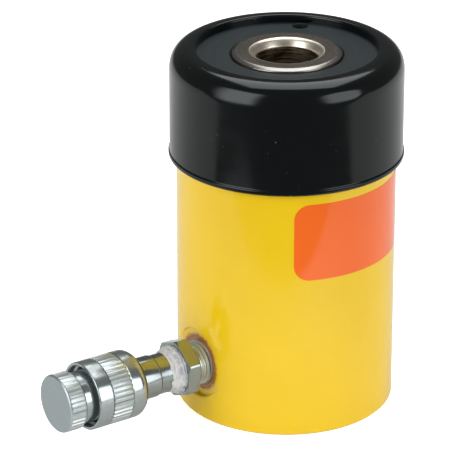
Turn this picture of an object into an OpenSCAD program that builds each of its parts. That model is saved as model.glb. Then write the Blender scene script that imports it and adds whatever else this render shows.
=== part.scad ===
// Hollow plunger cylinder: a painted steel body, a spring-returned hollow plunger round a
// centre tube, a slip-on thread protector, and a coupler half with a dust cap in the side port.
// Millimetres. The origin is the middle of the base, +Z runs along the plunger and the port
// faces -X. Lengths along the port are counted outwards from the cylinder's axis.

/* [Body] */
// Bore that the piston runs in
bore_d = 54.1; // [50:0.1:60]
// Wall of the body round the bore
body_wall = 7.875; // [7:0.025:9]
// Chamfer round the foot of the body
base_chamfer = 1.1; // [0.4:0.1:2]
// Chamfer round the top of the body
top_chamfer = 2.2; // [1:0.1:3]
// Diameter of the two tapped holes in the base
base_hole_d = 6.6; // [5:0.1:8]
// Distance between the two tapped holes
base_hole_spacing = 50.8; // [46:0.1:53]
// Depth of the tapped holes
base_hole_depth = 14; // [8:0.5:18]
// Small chamfer at the mouth of the bore
bore_edge = 0.6; // [0.3:0.1:0.9]

/* [Centre tube] */
// Diameter of the hole right through the cylinder
through_d = 19.6; // [17:0.1:20]
// Outside diameter of the centre tube
tube_d = 25.4; // [24:0.1:26]
// Height of the ledge that the tube stands on
tube_ledge_h = 4; // [3:0.5:6]
// Height of the tube's sealing ring in the base
tube_ring_z = 20; // [14:0.5:23]
// Thickness of the tube's sealing ring
tube_ring_d = 2; // [1.6:0.1:2.4]
// Space above the tube's top end
tube_end_gap = 0.5; // [0.3:0.1:2]
// Chamfer at the tube's top end
tube_edge = 0.6; // [0.3:0.1:0.9]

/* [Plunger] */
// Travel of the plunger
stroke = 42; // [30:1:60]
// Outside diameter of the plunger
plunger_d = 34.9; // [33.5:0.1:36]
// Height of the plunger above the gland nut at rest
plunger_rise = 1.2; // [0.8:0.1:3]
// Length of the solid land at the top of the plunger
plunger_land_h = 16; // [12:0.5:20]
// Chamfer on the plunger's top edge
plunger_chamfer = 1; // [0.5:0.1:1.5]
// Width of the chamfer at the hole's mouth
mouth_chamfer = 1.45; // [0.8:0.05:2]
// Depth of the chamfer at the hole's mouth
mouth_depth = 2.3; // [1:0.1:4]

/* [Piston] */
// Height of the piston below its outer seal
piston_foot_land = 2.6; // [2.4:0.1:4]
// Height between the piston's outer grooves
groove_land = 1; // [0.8:0.1:2]
// Height of the piston above its wear ring
piston_top_land = 1.5; // [1:0.1:3]
// Height of the piston below its inner seal
inner_land = 3.2; // [2:0.1:4]
// Thickness of the seat that the plunger stands on
plunger_seat_t = 0.8; // [0.6:0.1:1.4]
// Diameter of the foot that the piston rests on
piston_foot_d = 38; // [36:0.5:39]
// Height of the oil space round the piston's foot
piston_relief = 1.2; // [0.8:0.1:1.6]
// Chamfer round the piston
piston_edge = 0.5; // [0.3:0.1:0.7]

/* [Seals] */
// Height of the piston's outer seal
piston_seal_h = 4.6; // [4:0.1:4.8]
// Height of the ring behind each seal
backup_h = 1.2; // [1:0.1:1.4]
// Depth of the outer seal groove
piston_groove_t = 4.2; // [3.5:0.1:5]
// Height of the piston's wear ring
wear_ring_h = 2.6; // [2:0.1:2.8]
// Depth of the wear ring groove
wear_ring_t = 1.6; // [1.2:0.1:2]
// Height of the plunger's inner seal
inner_seal_h = 3.8; // [3:0.1:4]
// Depth of the inner seal groove
inner_groove_t = 2.8; // [2.2:0.1:3.2]
// Height of the sharp edge on a lip seal
lip_edge = 0.3; // [0.2:0.05:0.4]

/* [Return spring] */
// Wire thickness of the return spring
spring_wire_d = 3.9; // [3:0.1:4.4]
// Turns in the return spring
spring_turns = 5; // [4:1:7]

/* [Gland nut] */
// Thickness of the gland nut
gland_t = 14.2; // [14:0.1:18]
// How far the nut's thread stands outside the bore
gland_shoulder = 2.95; // [2:0.05:3.6]
// Chamfer at the nut's inner end
gland_lead = 1; // [0.6:0.1:1.4]
// Chamfer at the mouth of the nut's hole
gland_mouth = 0.4; // [0.2:0.1:0.6]
// Height of the bearing ring above the nut's inner end
bearing_land = 2; // [1.6:0.1:2.4]
// Height of the bearing ring in the gland nut
gland_bearing_h = 5.6; // [4:0.1:6]
// Thickness of the bearing ring
gland_bearing_t = 1.6; // [1.2:0.1:2]
// Height of the plunger's wiper ring
wiper_h = 3.2; // [2.6:0.1:3.4]
// Depth of the wiper groove
wiper_t = 2.2; // [1.6:0.1:2.6]
// Depth of the wiper groove below the nut's face
wiper_cover = 1.2; // [1:0.1:1.4]
// Diameter of the two spanner holes
spanner_hole_d = 4.8; // [4:0.1:5]
// Distance of a spanner hole from the nut's rim
spanner_inset = 4; // [3.4:0.1:5]
// Depth of the spanner holes
spanner_hole_depth = 6; // [4:0.5:8]
// Angle of the spanner holes round the axis
spanner_angle = 45; // [0:1:180]

/* [Thread protector] */
// Wall thickness of the protector's skirt
protector_wall = 1.85; // [1.2:0.05:3]
// Thickness of the protector's top flange
protector_flange_t = 2.6; // [1.6:0.1:4]
// Height of the protector
protector_h = 35.55; // [25:0.05:45]
// Width of the protector's top flange
protector_flange_w = 8.275; // [7:0.025:10]
// Radius of the protector's outer shoulder
protector_round = 6.4; // [4:0.1:7]
// Radius of the edge round the opening
protector_edge_round = 0.7; // [0.3:0.1:1]
// Height of the lip at the foot of the skirt
protector_lip_h = 1.4; // [0.8:0.1:3]
// How far the lip stands out
protector_lip_t = 0.4; // [0.2:0.05:0.8]
// Height of the slope above and below the lip
protector_lip_slope = 0.3; // [0.2:0.1:0.5]

/* [Port] */
// Height of the port above the base
port_h = 19; // [17:0.5:24]
// Thickness of the base above the port
port_roof = 0.9; // [0.7:0.1:6]
// Diameter of the recess round the port
spotface_d = 22.5; // [21:0.1:24]
// Depth of the recess below the body's surface
spotface_depth = 1.5; // [1.2:0.1:3]
// Depth of the port's thread behind the recess
port_depth = 12; // [11.5:0.5:14]
// Diameter of the oil passages
feed_d = 5; // [3:0.1:5.6]
// Distance between the upright oil passage and the adapter's end
feed_land = 0.6; // [0.4:0.1:1]

/* [Port adapter] */
// Diameter of the adapter's thread
adapter_thread_d = 14.2; // [13:0.1:15]
// Length of thread left showing behind the hexagon
adapter_gap = 5.6; // [4:0.1:9]
// Size across the hexagon's flats
hex_af = 17.4; // [17:0.1:20]
// Thickness of the hexagon
hex_t = 5.3; // [5:0.1:8]
// Chamfer on the hexagon's corners
hex_chamfer = 0.8; // [0.4:0.1:1.2]
// Thickness of the hexagon behind the coupler's tail
hex_floor_t = 0.2; // [0.1:0.05:0.4]
// Space behind the coupler's tail
tail_gap = 0.2; // [0.1:0.05:0.4]
// Length of the sealant ring
sealant_l = 4.6; // [2:0.1:6]
// Height of the sealant ring against the hexagon
sealant_t = 2; // [1:0.1:2.2]

/* [Coupler] */
// Diameter of the coupler's shank
shank_d = 13; // [12:0.1:13.4]
// Length of the shank outside the hexagon
shank_l = 8.1; // [7:0.1:12]
// Diameter of the coupler's neck behind the collar
neck_d = 13.75; // [13.6:0.05:14.4]
// Length of the neck behind the collar
neck_l = 4.4; // [3:0.1:8]
// Slope between the shank and the neck
neck_slope = 0.4; // [0.2:0.1:0.8]
// Space round the flange inside the collar
flange_gap = 0.5; // [0.3:0.05:0.8]
// Thickness of the flange inside the collar
flange_t = 2.5; // [2:0.1:3]
// Diameter of the coupler's nose
nose_d = 14.4; // [13.8:0.1:16]
// Chamfer round the nose and the tail
nose_edge = 0.5; // [0.3:0.1:0.6]
// Width of the nose outside its seal
nose_rim = 0.7; // [0.6:0.05:0.9]
// Width of the nose inside its seal
chamber_rim = 0.7; // [0.5:0.05:0.9]
// Difference in radius between the oil passages of the port and the coupler
feed_step = 0.3; // [0.1:0.05:0.5]
// Length of the valve seat
valve_seat_l = 4; // [3.6:0.1:4.4]
// Wall of the valve seat
valve_seat_wall = 1.5; // [1.3:0.05:1.7]
// Width of the seat's bevel
valve_bevel_w = 1; // [0.8:0.05:1.1]
// Height of the seat's bevel
valve_bevel_h = 1.2; // [1:0.1:1.4]
// Depth of the seat below the nose
valve_seat_depth = 0.2; // [0.1:0.05:0.4]
// Chamfer at the mouth of the seat
valve_mouth = 0.3; // [0.2:0.05:0.4]
// Space round the valve poppet
poppet_gap = 0.7; // [0.5:0.05:0.9]
// Space round the poppet's nose
poppet_nose_gap = 0.5; // [0.4:0.05:0.7]
// Space between the poppet's cone and the seat
poppet_cone_gap = 0.15; // [0.1:0.01:0.2]
// Length of the poppet's skirt
poppet_skirt_l = 1.8; // [1.5:0.1:2.2]
// Diameter of the stem that holds the valve spring
poppet_stem_d = 3; // [2.4:0.1:3.4]
// Length of the stem that holds the valve spring
poppet_stem_l = 2; // [1.5:0.1:2.4]
// Depth of the poppet's nose below the coupler's nose
poppet_depth = 0.7; // [0.5:0.1:1]
// Chamfer on the poppet's nose
poppet_edge = 0.4; // [0.2:0.05:0.5]
// Travel of the valve poppet
valve_travel = 2.5; // [1:0.1:2.6]
// Wire thickness of the valve spring
valve_wire_d = 0.7; // [0.5:0.05:0.8]
// Turns in the valve spring
valve_turns = 4; // [3:1:5]
// Length that the valve spring has left when the valve is open
valve_slack = 0.7; // [0.4:0.1:1.2]
// Thickness of the seal in the nose
nose_seal_t = 1.4; // [1:0.1:1.5]
// Depth of the seal in the nose
nose_seal_h = 1.2; // [0.8:0.1:1.6]

/* [Coupler collar] */
// Wall of the collar at its mouth
collar_lip_wall = 1; // [0.8:0.05:2]
// Length of the collar
collar_l = 21.2; // [19:0.1:25]
// Thickness of the collar's back wall
collar_back_t = 2.7; // [2.4:0.1:3.2]
// Play between the collar and the flange inside it
collar_play = 0.2; // [0.15:0.05:0.4]
// Radius of the collar's rear shoulder
collar_round = 3.6; // [2:0.1:3.7]
// Length of the plain band at the mouth
collar_front_l = 5.3; // [3:0.1:7]
// Length of the knurled band
collar_knurl_l = 7.1; // [4:0.1:8]
// Ribs round the knurled band
collar_ribs = 42; // [24:1:56]
// Depth of the knurl
knurl_depth = 0.4; // [0.2:0.05:0.6]
// Share of a rib that its flat crest takes
knurl_crest = 0.56; // [0.4:0.02:0.7]
// Length of the slope at each end of the knurl
knurl_slope = 0.4; // [0.2:0.1:0.8]
// How far that slope goes below the knurl
knurl_drop = 0.15; // [0.1:0.05:0.3]
// How far the collar's mouth is cut back from its thread
mouth_step = 0.7; // [0.4:0.05:1]
// Slope between the collar's thread and its mouth
mouth_slope = 0.5; // [0.3:0.1:0.8]
// Chamfer round the collar's open end
collar_edge = 0.35; // [0.2:0.05:0.5]
// Depth of the collar's mouth
collar_mouth_depth = 3; // [1:0.1:4]

/* [Dust cap] */
// Diameter of the cap's head
cap_d = 18.8; // [17:0.1:20]
// Thickness of the cap's head
cap_head_t = 6.2; // [4:0.1:9]
// Distance of the head from the collar
cap_standoff = 3.6; // [1:0.1:6]
// Wall of the cap's neck
cap_wall = 0.8; // [0.6:0.05:1.2]
// Height of the cap's thread above its neck
cap_thread_h = 0.9; // [0.6:0.05:1.2]
// Length of the cap's thread
cap_thread_l = 7.5; // [5:0.1:8]
// Distance of the cap's thread from the collar's mouth
cap_thread_inset = 1.5; // [1:0.1:2]
// Chamfer at each end of the cap's thread
cap_thread_edge = 0.55; // [0.3:0.05:0.7]
// Depth of the cap's floor inside the collar
cap_floor_depth = 2; // [1:0.1:3]
// Thickness of the sealing disc in the cap
cap_disc_t = 2; // [1:0.1:2.5]
// Ribs round the cap's head
cap_ribs = 38; // [24:1:50]
// Radius of the cap's outer edge
cap_round = 0.8; // [0.4:0.1:1.2]
// Chamfer round the back of the cap's head
cap_back_edge = 0.6; // [0.3:0.1:0.9]

/* [Clearances] */
// Radial clearance of a running fit
run_gap = 0.08; // [0.05:0.01:0.1]
// Clearance round a piece that sits in its place
seat_gap = 0.05; // [0.03:0.01:0.08]
// Clearance between surfaces that pass without touching
pass_gap = 0.3; // [0.25:0.05:0.4]

/* [Hidden] */
$fn = 96;
eps = 0.01;

// Radii
bore_r = bore_d / 2;
body_r = bore_r + body_wall;
hole_r = through_d / 2;
tube_r = tube_d / 2;
plunger_r = plunger_d / 2;
gland_r = bore_r + gland_shoulder;

// Stack of heights along the plunger
base_t = port_h + adapter_thread_d / 2 + port_roof;
piston_z = base_t + pass_gap;
seal_z = piston_z + piston_foot_land;
seal_top_z = seal_z + piston_seal_h + backup_h;
wear_z = seal_top_z + groove_land;
piston_top_z = wear_z + wear_ring_h + piston_top_land;
spring_room = spring_turns * spring_wire_d + pass_gap;
gland_z = piston_top_z + stroke + spring_room;
body_h = gland_z + gland_t;
plunger_top_z = body_h + plunger_rise;
land_z = plunger_top_z - plunger_land_h;
tube_top_z = land_z - tube_end_gap;

// Inside of the piston and the spring on it
piston_r = bore_r - pass_gap;
plunger_bore_r = tube_r + pass_gap;
inner_z = piston_z + inner_land;
inner_top_z = inner_z + inner_seal_h + backup_h;
plunger_seat_z = inner_top_z + plunger_seat_t;
spring_r = (plunger_r + bore_r) / 2;

// Gland nut
gland_bore_r = plunger_r + pass_gap;
bearing_z = gland_z + bearing_land;
wiper_top_z = body_h - wiper_cover;
spanner_hole_r = gland_r - spanner_inset;

// Thread protector
protector_in_r = body_r + pass_gap;
protector_r = protector_in_r + protector_wall;
protector_top_z = body_h + protector_flange_t;
protector_low_z = protector_top_z - protector_h;
protector_hole_r = protector_r - protector_flange_w;
protector_shoulder = min(protector_round, protector_flange_w - protector_edge_round - pass_gap);

// Stations along the port
port_face_s = body_r - spotface_depth;
port_end_s = port_face_s - port_depth;
feed_s = port_end_s + feed_d / 2;
adapter_end_s = port_end_s + feed_d + feed_land;
hex_s = port_face_s + adapter_gap;
hex_end_s = hex_s + hex_t;
hex_floor_s = hex_s + hex_floor_t;
tail_s = hex_floor_s + tail_gap;
step_s = hex_end_s + shank_l;
collar_s = step_s + neck_l;
collar_end_s = collar_s + collar_l;
collar_wall_s = collar_s + collar_back_t;
mouth_s = collar_end_s - collar_mouth_depth;
knurl_s = collar_end_s - collar_front_l - collar_knurl_l;
flange_s = collar_wall_s + collar_play;
cap_head_s = collar_end_s + cap_standoff;
cap_end_s = cap_head_s + cap_head_t;
cap_thread_end_s = mouth_s - cap_thread_inset;
cap_thread_s = cap_thread_end_s - cap_thread_l;
cap_floor_s = collar_end_s - cap_floor_depth;
nose_s = cap_floor_s - cap_disc_t - pass_gap - seat_gap;
seat_s = nose_s - valve_seat_l;
poppet_s = seat_s - poppet_skirt_l;
valve_room = valve_turns * valve_wire_d + valve_travel + valve_slack;
chamber_s = poppet_s - valve_room;

// Radii round the port, from the valve outwards
shank_r = shank_d / 2;
neck_r = neck_d / 2;
nose_r = nose_d / 2;
groove_r = nose_r - nose_rim;
chamber_r = groove_r - nose_seal_t - chamber_rim;
coupler_feed_r = feed_d / 2 - feed_step;
valve_seat_r = chamber_r - valve_seat_wall;
poppet_r = chamber_r - poppet_gap;
poppet_nose_r = valve_seat_r - poppet_nose_gap;
valve_spring_r = (chamber_r + poppet_stem_d / 2) / 2;
cap_bore_r = nose_r + pass_gap;
cap_neck_r = cap_bore_r + cap_wall;
cap_thread_r = cap_neck_r + cap_thread_h;
collar_thread_r = cap_thread_r + 2 * seat_gap;
flange_r = collar_thread_r - flange_gap;
mouth_r = collar_thread_r + mouth_step;
collar_r = mouth_r + collar_lip_wall;

// Turns the part's own Z axis to point out of the port
module along_port() {
    translate([0, 0, port_h])
        rotate([0, -90, 0])
            children();
}

// Ring of rectangular section
module ring(inner_r, outer_r, low, high) {
    rotate_extrude()
        translate([inner_r, low])
            square([outer_r - inner_r, high - low]);
}

// Lip seal of channel section, open towards the bottom
module lip_seal(inner_r, outer_r, low, high) {
    wall = (outer_r - inner_r) * 0.3;
    rotate_extrude()
        polygon([
            [inner_r, low + lip_edge], [inner_r + wall * 0.6, low], [inner_r + wall, low + lip_edge],
            [inner_r + wall, low + (high - low) * 0.5], [outer_r - wall, low + (high - low) * 0.5],
            [outer_r - wall, low + lip_edge], [outer_r - wall * 0.6, low], [outer_r, low + lip_edge],
            [outer_r, high], [inner_r, high]
        ]);
}

// Points of an arc in the plane of a profile
function arc(cx, cy, r, a0, a1, n = 10) =
    [for (i = [0 : n]) let (a = a0 + (a1 - a0) * i / n) [cx + r * cos(a), cy + r * sin(a)]];

// Outline of a straight knurl: a flat crest and a V groove for each rib
function knurl_outline(r, depth, ribs) =
    [for (i = [0 : ribs - 1], corner = [[0, 0], [knurl_crest, 0], [(1 + knurl_crest) / 2, depth]])
        let (a = 360 * (i + corner[0]) / ribs, q = r - corner[1])
            [q * cos(a), q * sin(a)]];

// Height along a coil after t turns, with one closed turn at each end
function coil_height(t, turns, length, wire) =
    let (closed = wire * 1.03, open = (length - wire - 2 * closed) / (turns - 2))
        wire / 2 + (t < 1 ? t * closed
            : t < turns - 1 ? closed + (t - 1) * open
            : length - wire - (turns - t) * closed);

// Round wire wound into a compression spring that stands on z = 0
module coil(mean_r, wire, turns, length, sides, steps) {
    n = turns * steps;
    points = [for (i = [0 : n], j = [0 : sides - 1])
        let (t = i / steps, b = 360 * j / sides, q = mean_r + wire / 2 * cos(b))
            [q * cos(360 * t), q * sin(360 * t),
             coil_height(t, turns, length, wire) + wire / 2 * sin(b)]];
    skin = [for (i = [0 : n - 1], j = [0 : sides - 1]) let (k = (j + 1) % sides)
        [i * sides + j, i * sides + k, (i + 1) * sides + k, (i + 1) * sides + j]];
    first = [for (j = [sides - 1 : -1 : 0]) j];
    last = [for (j = [0 : sides - 1]) n * sides + j];
    polyhedron(points, concat(skin, [first, last]), convexity = 10);
}

// Body with its bore, gland thread, port, oil passage and base holes
module cylinder_body() {
    color([0.95, 0.77, 0.08])
        difference() {
            rotate_extrude()
                polygon([
                    [hole_r, 0], [body_r - base_chamfer, 0], [body_r, base_chamfer],
                    [body_r, body_h - top_chamfer], [body_r - top_chamfer, body_h],
                    [gland_r + bore_edge, body_h], [gland_r, body_h - bore_edge], [gland_r, gland_z],
                    [bore_r, gland_z], [bore_r, base_t],
                    [tube_r + seat_gap, base_t], [tube_r + seat_gap, tube_ring_z + tube_ring_d * 0.65],
                    [tube_r + tube_ring_d, tube_ring_z + tube_ring_d * 0.65],
                    [tube_r + tube_ring_d, tube_ring_z - tube_ring_d * 0.65],
                    [tube_r + seat_gap, tube_ring_z - tube_ring_d * 0.65],
                    [tube_r + seat_gap, tube_ledge_h], [hole_r, tube_ledge_h]
                ]);
            along_port() {
                translate([0, 0, port_face_s])
                    cylinder(d = spotface_d, h = spotface_depth + body_wall);
                translate([0, 0, port_end_s])
                    cylinder(d = adapter_thread_d + 2 * seat_gap, h = port_depth + eps);
            }
            translate([-feed_s, 0, port_h])
                cylinder(d = feed_d, h = base_t - port_h + 1);
            for (side = [-1, 1])
                translate([0, side * base_hole_spacing / 2, -1])
                    cylinder(d = base_hole_d, h = base_hole_depth + 1);
        }
}

// Tube that lines the through hole and guides the plunger's inner seal
module centre_tube() {
    color([0.72, 0.72, 0.72])
        rotate_extrude()
            polygon([
                [hole_r, tube_ledge_h], [tube_r, tube_ledge_h], [tube_r, tube_top_z - tube_edge],
                [tube_r - tube_edge, tube_top_z], [hole_r + tube_edge, tube_top_z],
                [hole_r, tube_top_z - tube_edge]
            ]);
}

// Sealing ring round the foot of the tube
module tube_sealing_ring() {
    color([0.08, 0.08, 0.08])
        rotate_extrude()
            translate([tube_r + tube_ring_d / 2, tube_ring_z])
                circle(d = tube_ring_d - 2 * seat_gap, $fn = 32);
}

// Threaded nut that closes the bore and guides the plunger
module gland_nut() {
    color([0.2, 0.22, 0.24])
        difference() {
            rotate_extrude()
                polygon([
                    [gland_bore_r, gland_z], [gland_r - gland_lead, gland_z],
                    [gland_r - seat_gap, gland_z + gland_lead], [gland_r - seat_gap, body_h - bore_edge],
                    [gland_r - bore_edge - seat_gap, body_h], [gland_bore_r + gland_mouth, body_h],
                    [gland_bore_r, body_h - gland_mouth],
                    [gland_bore_r, wiper_top_z], [plunger_r + wiper_t, wiper_top_z],
                    [plunger_r + wiper_t, wiper_top_z - wiper_h], [gland_bore_r, wiper_top_z - wiper_h],
                    [gland_bore_r, bearing_z + gland_bearing_h],
                    [plunger_r + gland_bearing_t, bearing_z + gland_bearing_h],
                    [plunger_r + gland_bearing_t, bearing_z], [gland_bore_r, bearing_z]
                ]);
            for (turn = [0, 180])
                rotate([0, 0, spanner_angle + turn])
                    translate([spanner_hole_r, 0, body_h - spanner_hole_depth])
                        cylinder(d = spanner_hole_d, h = spanner_hole_depth + 1);
        }
}

// Bronze ring that the plunger slides in
module gland_bearing() {
    color([0.75, 0.55, 0.25])
        ring(plunger_r + run_gap, plunger_r + gland_bearing_t - seat_gap,
             bearing_z + seat_gap, bearing_z + gland_bearing_h - seat_gap);
}

// Ring that wipes the plunger clean
module plunger_wiper() {
    color([0.1, 0.1, 0.1])
        lip_seal(plunger_r + run_gap, plunger_r + wiper_t - seat_gap,
                 wiper_top_z - wiper_h + seat_gap, wiper_top_z - seat_gap);
}

// Spring between the piston and the gland nut
module return_spring() {
    color([0.4, 0.42, 0.45])
        translate([0, 0, piston_top_z + 2 * seat_gap])
            coil(spring_r, spring_wire_d, spring_turns,
                 gland_z - piston_top_z - 4 * seat_gap, 10, 28);
}

// Hexagon adapter screwed into the port
module port_adapter() {
    hex_r = hex_af / sqrt(3);
    color([0.75, 0.75, 0.76])
        along_port()
            difference() {
                union() {
                    translate([0, 0, adapter_end_s])
                        cylinder(d = adapter_thread_d, h = hex_s - adapter_end_s + eps);
                    intersection() {
                        translate([0, 0, hex_s])
                            cylinder(r = hex_r, h = hex_t, $fn = 6);
                        rotate_extrude()
                            polygon([
                                [0, hex_s], [hex_r - hex_chamfer * 1.4, hex_s],
                                [hex_r + seat_gap, hex_s + hex_chamfer], [hex_r + seat_gap, hex_end_s - hex_chamfer],
                                [hex_r - hex_chamfer * 1.4, hex_end_s], [0, hex_end_s]
                            ]);
                    }
                }
                translate([0, 0, adapter_end_s - 1])
                    cylinder(d = feed_d, h = hex_end_s - adapter_end_s + 2);
                translate([0, 0, hex_floor_s])
                    cylinder(d = shank_d + 2 * seat_gap, h = hex_t + 1);
            }
}

// Thread sealant squeezed out where the coupler enters the hexagon
module thread_sealant() {
    inner_r = shank_r + seat_gap;
    color([0.92, 0.9, 0.94])
        along_port()
            rotate_extrude()
                polygon([
                    [inner_r, hex_end_s + seat_gap], [inner_r + sealant_t, hex_end_s + seat_gap],
                    [inner_r + sealant_t * 0.86, hex_end_s + sealant_l * 0.18],
                    [inner_r + sealant_t * 0.5, hex_end_s + sealant_l * 0.46],
                    [inner_r + sealant_t * 0.18, hex_end_s + sealant_l * 0.82],
                    [inner_r, hex_end_s + sealant_l]
                ]);
}

// Coupler body: threaded tail, shank, neck, retaining flange and nose
module coupler_body() {
    color([0.75, 0.75, 0.76])
        along_port()
            rotate_extrude()
                polygon([
                    [coupler_feed_r, tail_s], [shank_r - nose_edge, tail_s], [shank_r, tail_s + nose_edge],
                    [shank_r, step_s - neck_slope], [neck_r, step_s], [neck_r, flange_s],
                    [flange_r, flange_s], [flange_r, flange_s + flange_t],
                    [nose_r, flange_s + flange_t], [nose_r, nose_s - nose_edge],
                    [nose_r - nose_edge, nose_s], [groove_r, nose_s], [groove_r, nose_s - nose_seal_h],
                    [groove_r - nose_seal_t, nose_s - nose_seal_h], [groove_r - nose_seal_t, nose_s],
                    [chamber_r, nose_s], [chamber_r, chamber_s], [coupler_feed_r, chamber_s]
                ]);
}

// Ring that the poppet closes against
module valve_seat() {
    out_r = chamber_r - seat_gap;
    top_s = nose_s - valve_seat_depth;
    color([0.72, 0.6, 0.3])
        along_port()
            rotate_extrude()
                polygon([
                    [valve_seat_r + valve_bevel_w, seat_s], [out_r, seat_s], [out_r, top_s],
                    [valve_seat_r + valve_mouth, top_s], [valve_seat_r, top_s - valve_mouth],
                    [valve_seat_r, seat_s + valve_bevel_h]
                ]);
}

// Spring that closes the poppet
module valve_spring() {
    color([0.5, 0.5, 0.52])
        along_port()
            translate([0, 0, chamber_s + seat_gap])
                coil(valve_spring_r, valve_wire_d, valve_turns, valve_room - 2 * seat_gap, 8, 18);
}

// Seal in the face of the coupler's nose
module nose_seal() {
    color([0.08, 0.08, 0.08])
        along_port()
            ring(groove_r - nose_seal_t + seat_gap, groove_r - seat_gap,
                 nose_s - nose_seal_h + seat_gap, nose_s - seat_gap);
}

// Hollow plunger that stands in the piston
module plunger() {
    color([0.7, 0.68, 0.64])
        rotate_extrude()
            polygon([
                [plunger_bore_r, plunger_seat_z + seat_gap], [plunger_r, plunger_seat_z + seat_gap],
                [plunger_r, plunger_top_z - plunger_chamfer], [plunger_r - plunger_chamfer, plunger_top_z],
                [hole_r + mouth_chamfer, plunger_top_z], [hole_r, plunger_top_z - mouth_depth],
                [hole_r, land_z], [plunger_bore_r, land_z]
            ]);
}

// Piston with its seal grooves and the seat that the plunger is screwed into
module piston() {
    foot_r = piston_foot_d / 2;
    low_z = piston_z + piston_relief;
    color([0.62, 0.62, 0.6])
        rotate_extrude()
            polygon([
                [plunger_bore_r, piston_z], [foot_r, piston_z], [foot_r, low_z], [piston_r - piston_edge, low_z],
                [piston_r, low_z + piston_edge], [piston_r, seal_z],
                [piston_r - piston_groove_t, seal_z], [piston_r - piston_groove_t, seal_top_z],
                [piston_r, seal_top_z], [piston_r, wear_z], [piston_r - wear_ring_t, wear_z],
                [piston_r - wear_ring_t, wear_z + wear_ring_h], [piston_r, wear_z + wear_ring_h],
                [piston_r, piston_top_z - piston_edge], [piston_r - piston_edge, piston_top_z],
                [plunger_r + seat_gap, piston_top_z], [plunger_r + seat_gap, plunger_seat_z],
                [plunger_bore_r, plunger_seat_z], [plunger_bore_r, inner_top_z],
                [plunger_bore_r + inner_groove_t, inner_top_z], [plunger_bore_r + inner_groove_t, inner_z],
                [plunger_bore_r, inner_z]
            ]);
}

// Seal between the piston and the bore
module piston_seal() {
    color([0.12, 0.2, 0.35])
        lip_seal(piston_r - piston_groove_t + seat_gap, bore_r - run_gap,
                 seal_z + seat_gap, seal_z + piston_seal_h - seat_gap);
}

// Hard ring behind the piston's seal
module piston_backup_ring() {
    color([0.85, 0.85, 0.8])
        ring(piston_r - piston_groove_t + seat_gap, bore_r - run_gap,
             seal_z + piston_seal_h, seal_top_z - seat_gap);
}

// Ring that keeps the piston off the bore
module piston_wear_ring() {
    color([0.3, 0.2, 0.15])
        ring(piston_r - wear_ring_t + seat_gap, bore_r - run_gap,
             wear_z + seat_gap, wear_z + wear_ring_h - seat_gap);
}

// Seal between the piston and the centre tube
module inner_seal() {
    color([0.12, 0.2, 0.35])
        lip_seal(tube_r + run_gap, plunger_bore_r + inner_groove_t - seat_gap,
                 inner_z + seat_gap, inner_z + inner_seal_h - seat_gap);
}

// Hard ring behind the inner seal
module inner_backup_ring() {
    color([0.85, 0.85, 0.8])
        ring(tube_r + run_gap, plunger_bore_r + inner_groove_t - seat_gap,
             inner_z + inner_seal_h, inner_top_z - seat_gap);
}

// Cap with an open top that covers the collar thread
module thread_protector() {
    bevel = top_chamfer + seat_gap;
    lip_r = protector_r + protector_lip_t;
    flat_w = protector_flange_w - protector_shoulder;
    color([0.09, 0.09, 0.1])
        rotate_extrude()
            difference() {
                union() {
                    translate([protector_hole_r, protector_low_z])
                        square([protector_flange_w, protector_h - protector_shoulder]);
                    translate([protector_hole_r, protector_low_z])
                        square([flat_w, protector_h - protector_edge_round]);
                    translate([protector_hole_r + protector_edge_round, protector_low_z])
                        square([flat_w - protector_edge_round, protector_h]);
                    translate([protector_r - protector_shoulder, protector_top_z - protector_shoulder])
                        intersection() {
                            circle(r = protector_shoulder);
                            square(protector_shoulder + 1);
                        }
                    translate([protector_hole_r + protector_edge_round, protector_top_z - protector_edge_round])
                        intersection() {
                            circle(r = protector_edge_round, $fn = 32);
                            mirror([1, 0])
                                square(protector_edge_round + 1);
                        }
                    translate([0, protector_low_z])
                        polygon([
                            [protector_r - eps, 0], [lip_r, protector_lip_slope], [lip_r, protector_lip_h],
                            [protector_r - eps, protector_lip_h + protector_lip_slope]
                        ]);
                }
                polygon([
                    [0, protector_low_z - 1], [protector_in_r, protector_low_z - 1],
                    [protector_in_r, body_h - bevel], [protector_in_r - bevel, body_h], [0, body_h]
                ]);
            }
}

// Knurled collar that turns freely on the coupler body
module coupler_collar() {
    low_r = neck_r + pass_gap;
    step_r = collar_r - knurl_depth - knurl_drop;
    knurl_end_s = knurl_s + collar_knurl_l;
    color([0.72, 0.72, 0.74])
        along_port()
            difference() {
                union() {
                    rotate_extrude()
                        polygon(concat(
                            [[0, collar_s]],
                            arc(collar_r - collar_round, collar_s + collar_round, collar_round, 270, 360),
                            [[collar_r, knurl_s - knurl_slope], [step_r, knurl_s], [0, knurl_s]]
                        ));
                    translate([0, 0, knurl_s])
                        linear_extrude(collar_knurl_l)
                            polygon(knurl_outline(collar_r, knurl_depth, collar_ribs));
                    rotate_extrude()
                        polygon([
                            [0, knurl_end_s], [step_r, knurl_end_s], [collar_r, knurl_end_s + knurl_slope],
                            [collar_r, collar_end_s - collar_edge], [collar_r - collar_edge, collar_end_s],
                            [0, collar_end_s]
                        ]);
                }
                rotate_extrude()
                    polygon([
                        [0, collar_s - 1], [low_r, collar_s - 1], [low_r, collar_wall_s],
                        [collar_thread_r, collar_wall_s], [collar_thread_r, mouth_s],
                        [mouth_r, mouth_s + mouth_slope], [mouth_r, collar_end_s + 1], [0, collar_end_s + 1]
                    ]);
            }
}

// Sealing disc in the bottom of the dust cap
module dust_cap_disc() {
    color([0.1, 0.1, 0.1])
        along_port()
            translate([0, 0, cap_floor_s - cap_disc_t - seat_gap])
                cylinder(r = cap_bore_r - 2 * seat_gap, h = cap_disc_t);
}

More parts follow.
